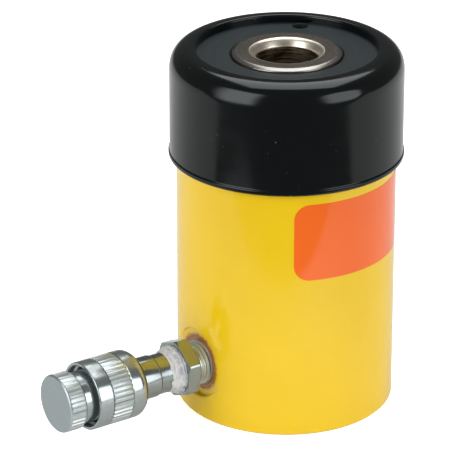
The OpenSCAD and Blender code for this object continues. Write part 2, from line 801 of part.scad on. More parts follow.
// Dust cap: knurled head, plain neck and a hollow threaded end
module dust_cap() {
    cap_r = cap_d / 2;
    outer_r = cap_r + 2 * seat_gap;
    color([0.74, 0.74, 0.75])
        along_port()
            difference() {
                union() {
                    intersection() {
                        translate([0, 0, cap_head_s])
                            linear_extrude(cap_head_t)
                                polygon(knurl_outline(cap_r, knurl_depth, cap_ribs));
                        rotate_extrude()
                            polygon(concat(
                                [[0, cap_head_s], [outer_r - cap_back_edge, cap_head_s],
                                 [outer_r, cap_head_s + cap_back_edge]],
                                arc(outer_r - cap_round, cap_end_s - cap_round, cap_round, 0, 90, 6),
                                [[0, cap_end_s]]
                            ));
                    }
                    translate([0, 0, cap_thread_end_s - eps])
                        cylinder(r = cap_neck_r, h = cap_head_s - cap_thread_end_s + 2 * eps);
                    rotate_extrude()
                        polygon([
                            [0, cap_thread_s], [cap_thread_r - cap_thread_edge, cap_thread_s],
                            [cap_thread_r, cap_thread_s + cap_thread_edge],
                            [cap_thread_r, cap_thread_end_s - cap_thread_edge],
                            [cap_thread_r - cap_thread_edge, cap_thread_end_s], [0, cap_thread_end_s]
                        ]);
                }
                translate([0, 0, cap_thread_s - 1])
                    cylinder(r = cap_bore_r, h = cap_floor_s - cap_thread_s + 1);
            }
}

// Poppet that closes the coupler when nothing is plugged in
module valve_poppet() {
    stem_r = poppet_stem_d / 2;
    slope = valve_bevel_h / valve_bevel_w;
    cone_r = valve_seat_r + valve_bevel_w - poppet_cone_gap;
    front_s = nose_s - poppet_depth;
    color([0.7, 0.7, 0.7])
        along_port()
            rotate_extrude()
                polygon([
                    [0, poppet_s - poppet_stem_l], [stem_r, poppet_s - poppet_stem_l], [stem_r, poppet_s],
                    [poppet_r, poppet_s], [poppet_r, seat_s + (cone_r - poppet_r) * slope],
                    [poppet_nose_r, seat_s + (cone_r - poppet_nose_r) * slope],
                    [poppet_nose_r, front_s - poppet_edge], [poppet_nose_r - poppet_edge, front_s], [0, front_s]
                ]);
}

cylinder_body();
centre_tube();
tube_sealing_ring();
gland_nut();
gland_bearing();
plunger_wiper();
return_spring();
port_adapter();
thread_sealant();
coupler_body();
valve_seat();
valve_spring();
nose_seal();
plunger();
piston();
piston_seal();
piston_backup_ring();
piston_wear_ring();
inner_seal();
inner_backup_ring();
thread_protector();
coupler_collar();
dust_cap_disc();
dust_cap();
valve_poppet();
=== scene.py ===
"""Looks of a hollow plunger cylinder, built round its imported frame.

Every class holds one sub-assembly. Sizes are in millimetres, in the frame of the solids: +Z runs
along the plunger and the port faces -X. Lengths along the port count outwards from the axis.
"""

import logging
import math
from dataclasses import dataclass
from enum import Enum
from typing import Callable, ClassVar, Sequence

import bmesh
import bpy
from bmesh.types import BMesh, BMFace, BMVert
from bpy.types import Material, Node, NodeSocket, Object, Scene
from mathutils import Matrix, Vector, noise

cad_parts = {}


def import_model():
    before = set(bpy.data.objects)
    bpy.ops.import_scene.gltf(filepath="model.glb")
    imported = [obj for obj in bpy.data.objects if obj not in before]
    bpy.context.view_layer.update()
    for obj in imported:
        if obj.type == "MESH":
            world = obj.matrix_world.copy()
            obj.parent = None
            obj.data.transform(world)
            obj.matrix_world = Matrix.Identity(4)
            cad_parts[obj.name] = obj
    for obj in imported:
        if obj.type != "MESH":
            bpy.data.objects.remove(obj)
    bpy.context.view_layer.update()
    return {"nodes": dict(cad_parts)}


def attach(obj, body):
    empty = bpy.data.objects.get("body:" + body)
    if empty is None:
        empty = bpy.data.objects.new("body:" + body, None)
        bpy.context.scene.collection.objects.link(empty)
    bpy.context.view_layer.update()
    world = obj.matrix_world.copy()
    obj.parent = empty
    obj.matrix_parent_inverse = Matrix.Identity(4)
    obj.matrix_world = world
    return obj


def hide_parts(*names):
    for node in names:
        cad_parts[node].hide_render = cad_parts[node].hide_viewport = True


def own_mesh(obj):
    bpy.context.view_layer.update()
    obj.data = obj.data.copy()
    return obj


LOG = logging.getLogger("plunger_cylinder")
MM = 0.001
FULL_TURN = 2.0 * math.pi
PORT_HEIGHT = 19.0
WELD = 1e-7
RING_REACH = 4e-6
LEVEL_REACH = 1e-6
CLEAR = 1.0
NEAR = 0.1
CLOSED_TURN = 1.03
RIDGE_SUNK = 0.15
RIDGE_FOOT = 0.42
RIDGE_CREST = 0.07
RIB_GROOVE = (0.05, 0.0, 0.0, 0.0, 0.05, 0.5, 1.0, 0.5)
RIB_FACES = len(RIB_GROOVE)

Point = tuple[float, float]
Triple = tuple[float, float, float]
Colour = tuple[float, float, float]
Rule = Callable[[BMFace, Vector, float], int]


class Turning(Enum):
    """The axis that a piece was turned about."""

    PLUNGER = "plunger"
    PORT = "port"


class Body(Enum):
    """The bodies of the frame that carry dressed pieces."""

    CYLINDER = "cylinder"
    PLUNGER = "plunger"
    PROTECTOR = "thread_protector"
    COLLAR = "coupler_collar"
    CAP = "dust_cap"


class Graph:
    """A node tree, with short ways to add to it."""

    def __init__(self, owner: bpy.types.ID) -> None:
        """Empty the tree of a material, world or lamp.

        Args:
            owner: What the tree belongs to.
        """
        owner.use_nodes = True
        self.tree = owner.node_tree
        self.tree.nodes.clear()

    def node(self, kind: str, inputs: dict | None = None, **settings: object) -> Node:
        """Add a node.

        Args:
            kind: The node's type name, without its ShaderNode prefix.
            inputs: Values or source sockets by input name or index.
            settings: Properties of the node itself.

        Returns:
            The new node.
        """
        made = self.tree.nodes.new("ShaderNode" + kind)
        for name, value in settings.items():
            setattr(made, name, value)
        for name, value in (inputs or {}).items():
            if isinstance(value, NodeSocket):
                self.tree.links.new(value, made.inputs[name])
            else:
                made.inputs[name].default_value = value
        return made

    def math(self, operation: str, *values: object) -> NodeSocket:
        """Combine numbers or sockets with one Math node and return its output."""
        return self.node("Math", dict(enumerate(values)), operation=operation).outputs[0]

    def ramp(
        self, value: NodeSocket, low: float, high: float, start: float = 0.0, end: float = 1.0, shape: str = "LINEAR",
    ) -> NodeSocket:
        """Map low to high onto start to end, clamped, and return the output."""
        inputs = {"Value": value, "From Min": low, "From Max": high, "To Min": start, "To Max": end}
        return self.node("MapRange", inputs, interpolation_type=shape).outputs["Result"]

    @staticmethod
    def opaque(value: object) -> object:
        """Give a colour its alpha, and pass on a number or a socket."""
        return (*value, 1.0) if isinstance(value, tuple) else value

    def blend(self, share: NodeSocket, first: Colour | NodeSocket, second: Colour | NodeSocket) -> NodeSocket:
        """Mix two colours by a share and return the output."""
        inputs = {0: share, 6: self.opaque(first), 7: self.opaque(second)}
        return self.node("Mix", inputs, data_type="RGBA").outputs[2]


class Shader(Graph):
    """A material with one principled shader and the nodes that feed it."""

    def __init__(self, name: str) -> None:
        """Start an empty material.

        Args:
            name: The material's name.
        """
        self.material = bpy.data.materials.new(name)
        super().__init__(self.material)
        self.surface = self.node("BsdfPrincipled")
        self.node("OutputMaterial", {"Surface": self.surface.outputs["BSDF"]})
        self.place = self.node("TexCoord").outputs["Object"]

    def set(self, **values: float | Colour) -> None:
        """Set constant sockets of the principled shader.

        Args:
            values: Numbers or colours by socket, with _ for a space in its name.
        """
        for name, value in values.items():
            self.surface.inputs[name.replace("_", " ")].default_value = self.opaque(value)

    def link(self, source: NodeSocket, target: str) -> None:
        """Feed one socket of the principled shader."""
        self.tree.links.new(source, self.surface.inputs[target])

    def tone(self, share: NodeSocket, first: Colour | NodeSocket, second: Colour | NodeSocket) -> None:
        """Mix the base colour from two by a share."""
        self.link(self.blend(share, first, second), "Base Color")

    def haze(self, pattern: NodeSocket, low: float, high: float) -> None:
        """Let the roughness wander from low to high with a pattern."""
        self.link(self.ramp(pattern, 0.3, 0.7, low, high), "Roughness")

    def speckle(self, size_mm: float, detail: float = 2.0, place: NodeSocket | None = None) -> NodeSocket:
        """Add soft noise.

        Args:
            size_mm: Width of one patch.
            detail: Octaves of finer noise.
            place: Coordinates to use in place of the piece's own.

        Returns:
            The noise, from 0 to 1.
        """
        inputs = {"Vector": place or self.place, "Scale": 1.0 / (size_mm * MM), "Detail": detail}
        return self.node("TexNoise", inputs).outputs["Fac"]

    def relief(self, height: NodeSocket, depth_mm: float) -> None:
        """Press a height pattern into the surface."""
        self.link(self.node("Bump", {"Height": height, "Distance": depth_mm * MM}).outputs["Normal"], "Normal")

    def lathe_place(self, turning: Turning, around_mm: float) -> NodeSocket:
        """Coordinates that run along a lathe's cut, so noise becomes turning lines.

        Args:
            turning: The axis the piece was turned about.
            around_mm: How far a line runs before it changes.

        Returns:
            A vector of radius, length along the axis and a slow drift round it.
        """
        parts = self.node("SeparateXYZ", {"Vector": self.place}).outputs
        if turning is Turning.PLUNGER:
            across, along, up = parts["X"], parts["Z"], parts["Y"]
        else:
            across, along = parts["Y"], parts["X"]
            up = self.math("SUBTRACT", parts["Z"], PORT_HEIGHT * MM)
        radius = self.math("SQRT", self.math("ADD", self.math("POWER", across, 2.0), self.math("POWER", up, 2.0)))
        drift = self.math("MULTIPLY", self.math("ARCTAN2", up, across), 0.5 * MM / around_mm)
        return self.node("CombineXYZ", {"X": radius, "Y": along, "Z": drift}).outputs["Vector"]


@dataclass(frozen=True)
class Finish:
    """A surface finish. Each kind builds its material once."""

    name: str
    slot: str
    made: ClassVar[dict[str, Material]] = {}

    def material(self) -> Material:
        """Build the finish's material on first use.

        Returns:
            The material.
        """
        if self.name not in self.made:
            shader = Shader(self.name)
            self.dress(shader)
            self.made[self.name] = shader.material
        return self.made[self.name]

    def dress(self, shader: Shader) -> None:
        """Fill in the material. Each kind of finish has its own way.

        Args:
            shader: The material's shader.
        """
        raise NotImplementedError


@dataclass(frozen=True)
class Enamel(Finish):
    """Gloss baked paint with a faint orange peel."""

    colour: Colour
    shade: Colour
    roughness: float = 0.17
    peel_mm: float = 1.1
    peel_depth_mm: float = 0.006
    patch_mm: float = 24.0
    gloss_mm: float = 7.0

    def dress(self, shader: Shader) -> None:
        """Vary the tone slightly, and let the gloss wander with the film's thickness.

        Args:
            shader: The material's shader.
        """
        shader.set(Specular_IOR_Level=0.5, Coat_Weight=0.25, Coat_Roughness=0.08)
        patch = shader.ramp(shader.speckle(self.patch_mm, 3.0), 0.35, 0.7)
        shader.tone(patch, self.colour, self.shade)
        shader.haze(shader.speckle(self.gloss_mm, 3.0), self.roughness - 0.03, self.roughness + 0.05)
        shader.relief(shader.speckle(self.peel_mm, 1.0), self.peel_depth_mm)


@dataclass(frozen=True)
class BareAndShadedEnamel(Enamel):
    """Paint round the port with a brown ring next to the thread: unpainted metal, darkened as painted shade of the
    recess.
    """

    bare_and_shade: Colour = (0.28, 0.095, 0.02)
    worn: Colour = (0.52, 0.23, 0.065)
    bare_and_shade_mm: float = 8.7
    fade_mm: float = 1.3
    ragged_mm: float = 0.5
    edge_mm: float = 1.5
    line_mm: float = 0.45
    around_mm: float = 3.0

    def dress(self, shader: Shader) -> None:
        """Paint the recess, then fade towards the thread into a brown ring of painted shade over unpainted metal.

        Args:
            shader: The material's shader.
        """
        super().dress(shader)
        place = shader.lathe_place(Turning.PORT, self.around_mm)
        lines = shader.ramp(shader.speckle(self.line_mm, 3.0, place), 0.35, 0.65)
        # The brown ring is painted shade in the recess round the fitting, over unpainted metal; worn holds its
        # lighter streaks.
        shaded_metal = shader.blend(lines, self.bare_and_shade, self.worn)
        radius = shader.node("SeparateXYZ", {"Vector": place}).outputs["X"]
        stray = self.ragged_mm * MM
        ragged = shader.math("ADD", radius, shader.ramp(shader.speckle(self.edge_mm, 3.0), 0.3, 0.7, -stray, stray))
        paint = shader.ramp(ragged, self.bare_and_shade_mm * MM, (self.bare_and_shade_mm + self.fade_mm) * MM)
        shader.tone(paint, shaded_metal, self.colour)


@dataclass(frozen=True)
class Moulding(Finish):
    """Black moulded plastic with a fine skin and a few specks of dust."""

    colour: Colour
    dust: Colour
    roughness: float = 0.12
    speck_mm: float = 2.0
    drift_mm: float = 12.0
    haze_mm: float = 9.0
    grain_mm: float = 0.35
    grain_depth_mm: float = 0.004

    def dress(self, shader: Shader) -> None:
        """Scatter dust thinly and break the gloss with a fine grain.

        Args:
            shader: The material's shader.
        """
        shader.set(Specular_IOR_Level=0.44, Specular_Tint=(0.93, 0.99, 1.0))
        cells = shader.node("TexVoronoi", {"Vector": shader.place, "Scale": 1.0 / (self.speck_mm * MM)}).outputs
        speck = shader.math("LESS_THAN", cells["Distance"], shader.ramp(cells["Color"], 0.5, 0.9, 0.0, 0.14))
        drift = shader.ramp(shader.speckle(self.drift_mm), 0.42, 0.6, 0.1, 0.9)
        shader.tone(shader.math("MULTIPLY", speck, drift), self.colour, self.dust)
        shader.haze(shader.speckle(self.haze_mm, 4.0), self.roughness - 0.02, self.roughness + 0.05)
        shader.relief(shader.speckle(self.grain_mm), self.grain_depth_mm)


@dataclass(frozen=True)
class TurnedMetal(Finish):
    """Metal with the fine lines of a lathe, and a film that gathers in patches."""

    colour: Colour
    film: Colour
    turning: Turning = Turning.PLUNGER
    roughness: float = 0.22
    line_mm: float = 0.25
    line_depth_mm: float = 0.006
    metallic: float = 1.0
    film_share: float = 0.5
    patch_mm: float = 5.0
    line_share: float = 0.0
    dull_top: float = 0.0
    dull_mm: float = 2.2
    film_haze: float = 0.0
    film_matte: float = 0.0
    around_mm: float = 3.0

    def dress(self, shader: Shader) -> None:
        """Draw the lines from noise stretched round the axis, and lay the film over them.

        Args:
            shader: The material's shader.
        """
        shader.set(Metallic=self.metallic)
        lines = shader.speckle(self.line_mm, place=shader.lathe_place(self.turning, self.around_mm))
        patch = shader.ramp(shader.speckle(self.patch_mm, 4.0), 0.38, 0.68, 0.0, self.film_share)
        if self.line_share > 0.0:
            patch = shader.math("ADD", patch, shader.ramp(lines, 0.42, 0.6, 0.0, self.line_share))
        if self.dull_top > 0.0:
            facing = shader.node("TexCoord").outputs["Normal"]
            upward = shader.ramp(shader.node("SeparateXYZ", {"Vector": facing}).outputs["Z"], 0.5, 0.95)
            blotch = shader.ramp(shader.speckle(self.dull_mm, 3.0), 0.34, 0.62, self.dull_top * 0.2, self.dull_top)
            patch = shader.math("ADD", patch, shader.math("MULTIPLY", upward, blotch))
        shader.tone(patch, self.colour, self.film)
        if self.film_matte > 0.0:
            shader.link(shader.ramp(patch, 0.0, 1.0, self.metallic, self.metallic - self.film_matte), "Metallic")
        gloss = shader.ramp(lines, 0.25, 0.75, self.roughness * 0.75, self.roughness * 1.3)
        shader.link(shader.math("ADD", gloss, shader.math("MULTIPLY", patch, self.film_haze)), "Roughness")
        shader.relief(lines, self.line_depth_mm)


@dataclass(frozen=True)
class Polymer(Finish):
    """Rubber or plain plastic with a mottled tone and a fine skin."""

    colour: Colour
    shade: Colour
    roughness: float = 0.5
    grain_mm: float = 0.5
    grain_depth_mm: float = 0.02
    patch_mm: float = 3.0

    def dress(self, shader: Shader) -> None:
        """Mottle the tone and roughen the skin.

        Args:
            shader: The material's shader.
        """
        patch = shader.ramp(shader.speckle(self.patch_mm, 4.0), 0.35, 0.68)
        shader.tone(patch, self.colour, self.shade)
        skin = shader.speckle(self.grain_mm, 3.0)
        shader.haze(skin, self.roughness - 0.06, self.roughness + 0.08)
        shader.relief(skin, self.grain_depth_mm)


@dataclass(frozen=True)
class Paste(Finish):
    """White paste dragged round the thread, with lavender streaks of painted shade."""

    colour: Colour
    shade: Colour
    roughness: float = 0.5
    streak_mm: float = 0.7
    around_mm: float = 1.2
    lump_mm: float = 1.4
    depth_mm: float = 0.12

    def dress(self, shader: Shader) -> None:
        """Streak painted lavender shade round the axis and leave the skin lumpy.

        Args:
            shader: The material's shader.
        """
        streaks = shader.speckle(self.streak_mm, 4.0, shader.lathe_place(Turning.PORT, self.around_mm))
        lumps = shader.speckle(self.lump_mm, 4.0)
        # The shade colour is painted shade, laid in streaks and lumps.
        share = shader.math("MULTIPLY", shader.ramp(streaks, 0.42, 0.66), shader.ramp(lumps, 0.34, 0.6))
        shader.tone(share, self.colour, self.shade)
        shader.haze(lumps, self.roughness - 0.1, self.roughness + 0.1)
        shader.relief(shader.math("ADD", streaks, lumps), self.depth_mm)


class Finishes:
    """Every finish on the object."""

    ENAMEL = Enamel("yellow_enamel", "yellow_enamel", (0.9, 0.6, 0.008), (0.87, 0.57, 0.007))
    RECESS = BareAndShadedEnamel("recess_enamel", "yellow_enamel", (0.88, 0.58, 0.008), (0.87, 0.57, 0.007))
    BARE = TurnedMetal("bare_steel", "yellow_enamel", (0.3, 0.29, 0.27), (0.16, 0.14, 0.11), roughness=0.3)
    TUBE = TurnedMetal(
        "tube_steel", "tube_steel", (0.72, 0.6, 0.46), (0.06, 0.04, 0.022), roughness=0.32, line_mm=0.6,
        line_depth_mm=0.06, film_share=0.3, line_share=0.8, around_mm=0.7,
    )
    GLAND = TurnedMetal(
        "blackened_steel", "blackened_steel", (0.018, 0.028, 0.031), (0.014, 0.021, 0.024), roughness=0.42,
        metallic=0.2, line_depth_mm=0.002,
    )
    PLUNGER = TurnedMetal("plunger_steel", "plunger_steel", (0.42, 0.37, 0.31), (0.27, 0.23, 0.18), roughness=0.24)
    EDGE = TurnedMetal("edge_steel", "plunger_steel", (0.38, 0.37, 0.345), (0.33, 0.32, 0.295), roughness=0.28)
    MOUTH = TurnedMetal("mouth_steel", "plunger_steel", (0.86, 0.8, 0.69), (0.72, 0.65, 0.54), roughness=0.36)
    PLATING = TurnedMetal(
        "port_plating", "plated_steel", (0.46, 0.52, 0.525), (0.27, 0.305, 0.305), Turning.PORT, 0.14, 0.2, 0.002,
        metallic=0.9, film_share=0.12, patch_mm=1.6, dull_top=0.8, film_haze=0.12, film_matte=0.3,
    )
    STEM = TurnedMetal(
        "stem_plating", "plated_steel", (0.38, 0.43, 0.435), (0.27, 0.305, 0.305), Turning.PORT, 0.13, 0.2, 0.002,
        metallic=0.9, film_share=0.3, patch_mm=3.0, film_haze=0.06,
    )
    KNURL = TurnedMetal(
        "knurl_plating", "plated_steel", (0.56, 0.62, 0.62), (0.42, 0.47, 0.47), Turning.PORT, 0.34, 0.2, 0.002,
        metallic=0.85, film_share=0.25, patch_mm=1.6,
    )
    SATIN = TurnedMetal(
        "satin_plating", "plated_steel", (0.46, 0.525, 0.535), (0.43, 0.49, 0.5), Turning.PORT, 0.38, 0.25, 0.003,
    )
    # A lighter, paler copy of the plating: painted light on the thread where the hexagon shades it.
    THREAD = TurnedMetal(
        "thread_plating", "plated_steel", (0.8, 0.87, 0.87), (0.62, 0.68, 0.67), Turning.PORT, 0.32, 0.25, 0.003,
        metallic=0.7,
    )
    BRONZE = TurnedMetal("bearing_bronze", "bearing_bronze", (0.6, 0.36, 0.13), (0.4, 0.22, 0.07), roughness=0.32)
    SPRING = TurnedMetal("spring_steel", "spring_steel", (0.16, 0.165, 0.18), (0.09, 0.085, 0.08), roughness=0.36)
    SEALANT = Paste("sealant_white", "sealant_white", (0.7, 0.72, 0.72), (0.42, 0.41, 0.47))
    RUBBER = Polymer("seal_rubber", "seal_rubber", (0.018, 0.018, 0.018), (0.03, 0.03, 0.03))
    LIP_SEAL = Polymer("seal_blue", "seal_blue", (0.03, 0.06, 0.17), (0.05, 0.08, 0.2), roughness=0.4)
    BACKUP = Polymer("backup_white", "backup_white", (0.6, 0.6, 0.54), (0.52, 0.52, 0.46))
    WEAR = Polymer("wear_brown", "wear_brown", (0.06, 0.032, 0.02), (0.09, 0.05, 0.03))
    PROTECTOR = Moulding("protector_black", "protector_black", (0.0032, 0.0042, 0.0044), (0.085, 0.09, 0.09))
    DECAL = Enamel("decal_orange", "yellow_enamel", (0.95, 0.156, 0.016), (0.93, 0.148, 0.015), 0.08, peel_mm=0.5)


def sweep(
    mesh: BMesh, section: list, steps: int, angle: float = FULL_TURN, rise_mm: float = 0.0, closed: bool = False,
) -> list:
    """Sweep a section of vertices and edges about the Z axis.

    Args:
        mesh: The mesh that holds the section.
        section: The vertices and edges to sweep.
        steps: Faces along the sweep.
        angle: Angle of the sweep, in radians.
        rise_mm: Rise in one step.
        closed: Whether the sweep ends where it began.

    Returns:
        What the sweep ends with.
    """
    made = bmesh.ops.spin(
        mesh, geom=section, cent=(0, 0, 0), axis=(0, 0, 1), dvec=(0, 0, rise_mm * MM), angle=angle, steps=steps,
        use_merge=closed, use_duplicate=False,
    )
    return made["geom_last"]


def lathe(profile: Sequence[Point], steps: int = 192) -> BMesh:
    """Turn a closed profile about the Z axis.

    Args:
        profile: Corners as radius and height, in millimetres, in order round the section.
        steps: Faces round the axis.

    Returns:
        A closed mesh with its faces outwards.
    """
    mesh = bmesh.new()
    corners = [mesh.verts.new((radius * MM, 0.0, height * MM)) for radius, height in profile]
    sides = [mesh.edges.new(pair) for pair in zip(corners, corners[1:])]
    if profile[0][0] > 0.0 or profile[-1][0] > 0.0:
        sides.append(mesh.edges.new((corners[-1], corners[0])))
    sweep(mesh, corners + sides, steps, closed=True)
    bmesh.ops.remove_doubles(mesh, verts=mesh.verts, dist=WELD)
    bmesh.ops.dissolve_degenerate(mesh, edges=mesh.edges, dist=WELD / 10)
    bmesh.ops.recalc_face_normals(mesh, faces=mesh.faces)
    return mesh


def round_off(mesh: BMesh, geom: list, width: float, segments: int, fullness: float = 0.5, of: str = "EDGES") -> None:
    """Bevel edges or corners with a rounding, of a width in millimetres."""
    bmesh.ops.bevel(
        mesh, geom=geom, offset=width * MM, offset_type="OFFSET", segments=segments, profile=fullness, affect=of,
        material=-1, clamp_overlap=of == "EDGES",
    )


def soften(mesh: BMesh, rings: Sequence[Point], width: float, segments: int = 3, fullness: float = 0.5) -> None:
    """Round the ring-shaped edges of a turned piece.

    Args:
        mesh: The turned mesh, still on its own Z axis.
        rings: Radius and height of each edge to round, in millimetres.
        width: Width of the rounding, in millimetres.
        segments: Faces across the rounding.
        fullness: 0.5 for a quarter circle, more for one that starts more gently.
    """

    def on_ring(vert: BMVert) -> bool:
        """Tell whether a corner lies on one of the rings."""
        out = math.hypot(vert.co.x, vert.co.y)
        return any(abs(out - r * MM) < RING_REACH and abs(vert.co.z - z * MM) < RING_REACH for r, z in rings)

    chosen = [edge for edge in mesh.edges if on_ring(edge.verts[0]) and on_ring(edge.verts[1])]
    level = [edge for edge in chosen if abs(edge.verts[0].co.z - edge.verts[1].co.z) < LEVEL_REACH]
    round_off(mesh, level, width, segments, fullness)


def rod(radius: float, low: float, high: float, steps: int = 96) -> BMesh:
    """Make a plain round bar along Z, for cutting with.

    Args:
        radius: Radius of the bar.
        low: Height where it begins.
        high: Height where it ends.
        steps: Faces round it.

    Returns:
        The bar.
    """
    mesh = bmesh.new()
    bmesh.ops.create_cone(
        mesh, cap_ends=True, segments=steps, radius1=radius * MM, radius2=radius * MM, depth=(high - low) * MM,
        matrix=Matrix.Translation((0.0, 0.0, (low + high) / 2 * MM)),
    )
    return mesh


def onto_port(mesh: BMesh) -> BMesh:
    """Lay a piece made along Z onto the port's axis, pointing out of the port.

    Args:
        mesh: The piece's mesh.

    Returns:
        The same mesh.
    """
    turn = Matrix.Translation((0.0, 0.0, PORT_HEIGHT * MM)) @ Matrix.Rotation(-math.pi / 2, 4, "Y")
    bmesh.ops.transform(mesh, matrix=turn, verts=mesh.verts)
    return mesh


def shift(mesh: BMesh, x: float, y: float, z: float) -> BMesh:
    """Move a mesh by millimetres."""
    bmesh.ops.translate(mesh, vec=(x * MM, y * MM, z * MM), verts=mesh.verts)
    return mesh


def as_object(name: str, mesh: BMesh) -> Object:
    """Make an object of a mesh and free the mesh.

    Args:
        name: The object's name.
        mesh: Its mesh.

    Returns:
        The object.
    """
    data = bpy.data.meshes.new(name)
    mesh.to_mesh(data)
    mesh.free()
    made = bpy.data.objects.new(name, data)
    bpy.context.scene.collection.objects.link(made)
    return made


def cut(mesh: BMesh, tools: Sequence[BMesh], operation: str = "DIFFERENCE") -> BMesh:
    """Cut a mesh with others.

    Args:
        mesh: The mesh to cut.
        tools: The meshes that cut it, each used up.
        operation: DIFFERENCE or INTERSECT.

    Returns:
        The cut mesh.
    """
    work = as_object("work", mesh)
    helpers = [as_object("tool", tool) for tool in tools]
    for helper in helpers:
        modifier = work.modifiers.new("cut", "BOOLEAN")
        modifier.operation = operation
        modifier.solver = "EXACT"
        modifier.object = helper
    data = bpy.data.meshes.new_from_object(work.evaluated_get(bpy.context.evaluated_depsgraph_get()))
    result = bmesh.new()
    result.from_mesh(data)
    bpy.data.meshes.remove(data)
    for item in [work, *helpers]:
        old = item.data
        bpy.data.objects.remove(item)
        bpy.data.meshes.remove(old)
    bmesh.ops.remove_doubles(result, verts=result.verts, dist=WELD)
    return result


def close_ends(mesh: BMesh) -> BMesh:
    """Close the open ends of a wound piece.

    Args:
        mesh: The piece's mesh.

    Returns:
        The same mesh.
    """
    bmesh.ops.holes_fill(mesh, edges=mesh.edges, sides=0)
    bmesh.ops.recalc_face_normals(mesh, faces=mesh.faces)
    return mesh


def helix_ridge(low_r: float, high_r: float, pitch: float, start: float, turns: float, steps: int = 72) -> BMesh:
    """Wind a screw thread's ridge about Z.

    Args:
        low_r: Radius of the ridge's hidden foot.
        high_r: Radius of its crest.
        pitch: Rise in one turn.
        start: Height where the ridge begins.
        turns: Number of turns.
        steps: Faces in one turn.

    Returns:
        A closed ridge.
    """
    mesh = bmesh.new()
    section = [(low_r, -RIDGE_FOOT), (high_r, -RIDGE_CREST), (high_r, RIDGE_CREST), (low_r, RIDGE_FOOT)]
    corners = [mesh.verts.new((r * MM, 0.0, (start + k * pitch) * MM)) for r, k in section]
    sides = [mesh.edges.new(pair) for pair in zip(corners, corners[1:] + corners[:1])]
    count = round(turns * steps)
    sweep(mesh, corners + sides, count, FULL_TURN * count / steps, pitch / steps)
    return close_ends(mesh)


def coil(mean_r: float, wire: float, turns: int, length: float, sides: int = 12, steps: int = 36) -> BMesh:
    """Wind a compression spring that stands on z = 0, with one closed turn at each end.

    Args:
        mean_r: Radius of the wire's middle.
        wire: Thickness of the wire.
        turns: Number of turns.
        length: Length of the spring.
        sides: Faces round the wire.
        steps: Faces in one turn.

    Returns:
        A closed spring.
    """
    closed = wire * CLOSED_TURN
    opened = (length - wire - 2.0 * closed) / (turns - 2)
    mesh = bmesh.new()
    place = Matrix.Translation((mean_r * MM, 0.0, wire / 2 * MM)) @ Matrix.Rotation(math.pi / 2, 4, "X")
    bmesh.ops.create_circle(mesh, segments=sides, radius=wire / 2 * MM, matrix=place)
    end: list = [*mesh.verts, *mesh.edges]
    for count, rise in ((1, closed), (turns - 2, opened), (1, closed)):
        last = sweep(mesh, end, count * steps, FULL_TURN * count, rise / steps)
        end = [item for item in last if not isinstance(item, BMFace)]
    return close_ends(mesh)


def knurl(mesh: BMesh, low: float, high: float, radius: float, ribs: int, depth: float) -> None:
    """Press straight grooves into a band of a turned piece that has RIB_FACES faces to a rib.

    Args:
        mesh: The turned mesh, still on its own Z axis.
        low: Height where the grooves begin.
        high: Height where they end.
        radius: Radius of the band.
        ribs: Number of ribs.
        depth: Depth of the grooves.
    """
    for vert in mesh.verts:
        now = math.hypot(vert.co.x, vert.co.y)
        if low <= vert.co.z / MM <= high and abs(now / MM - radius) < 0.02:
            turn = math.atan2(vert.co.y, vert.co.x) / FULL_TURN * ribs * RIB_FACES
            vert.co.xy *= 1.0 - RIB_GROOVE[round(turn) % RIB_FACES] * depth * MM / now


def number_faces(mesh: BMesh, rule: Rule) -> BMesh:
    """Choose each face's finish.

    Args:
        mesh: The mesh, still on its own Z axis.
        rule: Gives the finish's number from a face, its middle and the middle's distance from Z, in millimetres.

    Returns:
        The same mesh.
    """
    for face in mesh.faces:
        middle = face.calc_center_median() / MM
        face.material_index = rule(face, middle, math.hypot(middle.x, middle.y))
    return mesh


def show(
    name: str, mesh: BMesh, body: Body, finishes: Sequence[Finish], stands_for: Sequence[str] = (),
    sharp: float = 32.0,
) -> Object:
    """Turn a mesh into a dressed piece that rides on a body.

    Args:
        name: The piece's name.
        mesh: Its mesh, in place.
        body: The body that carries it.
        finishes: Its finishes, in the order of its faces' material numbers.
        stands_for: Nodes that it replaces.
        sharp: Angle above which an edge stays sharp, in degrees.

    Returns:
        The piece.
    """
    piece = as_object(name, mesh)
    piece.data.polygons.foreach_set("use_smooth", [True] * len(piece.data.polygons))
    piece.data.set_sharp_from_angle(angle=math.radians(sharp))
    for finish in finishes:
        piece.data.materials.append(finish.material())
    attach(piece, body.value)
    if stands_for:
        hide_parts(*stands_for)
    LOG.info("piece %s on %s: %d faces", name, body.value, len(piece.data.polygons))
    return piece


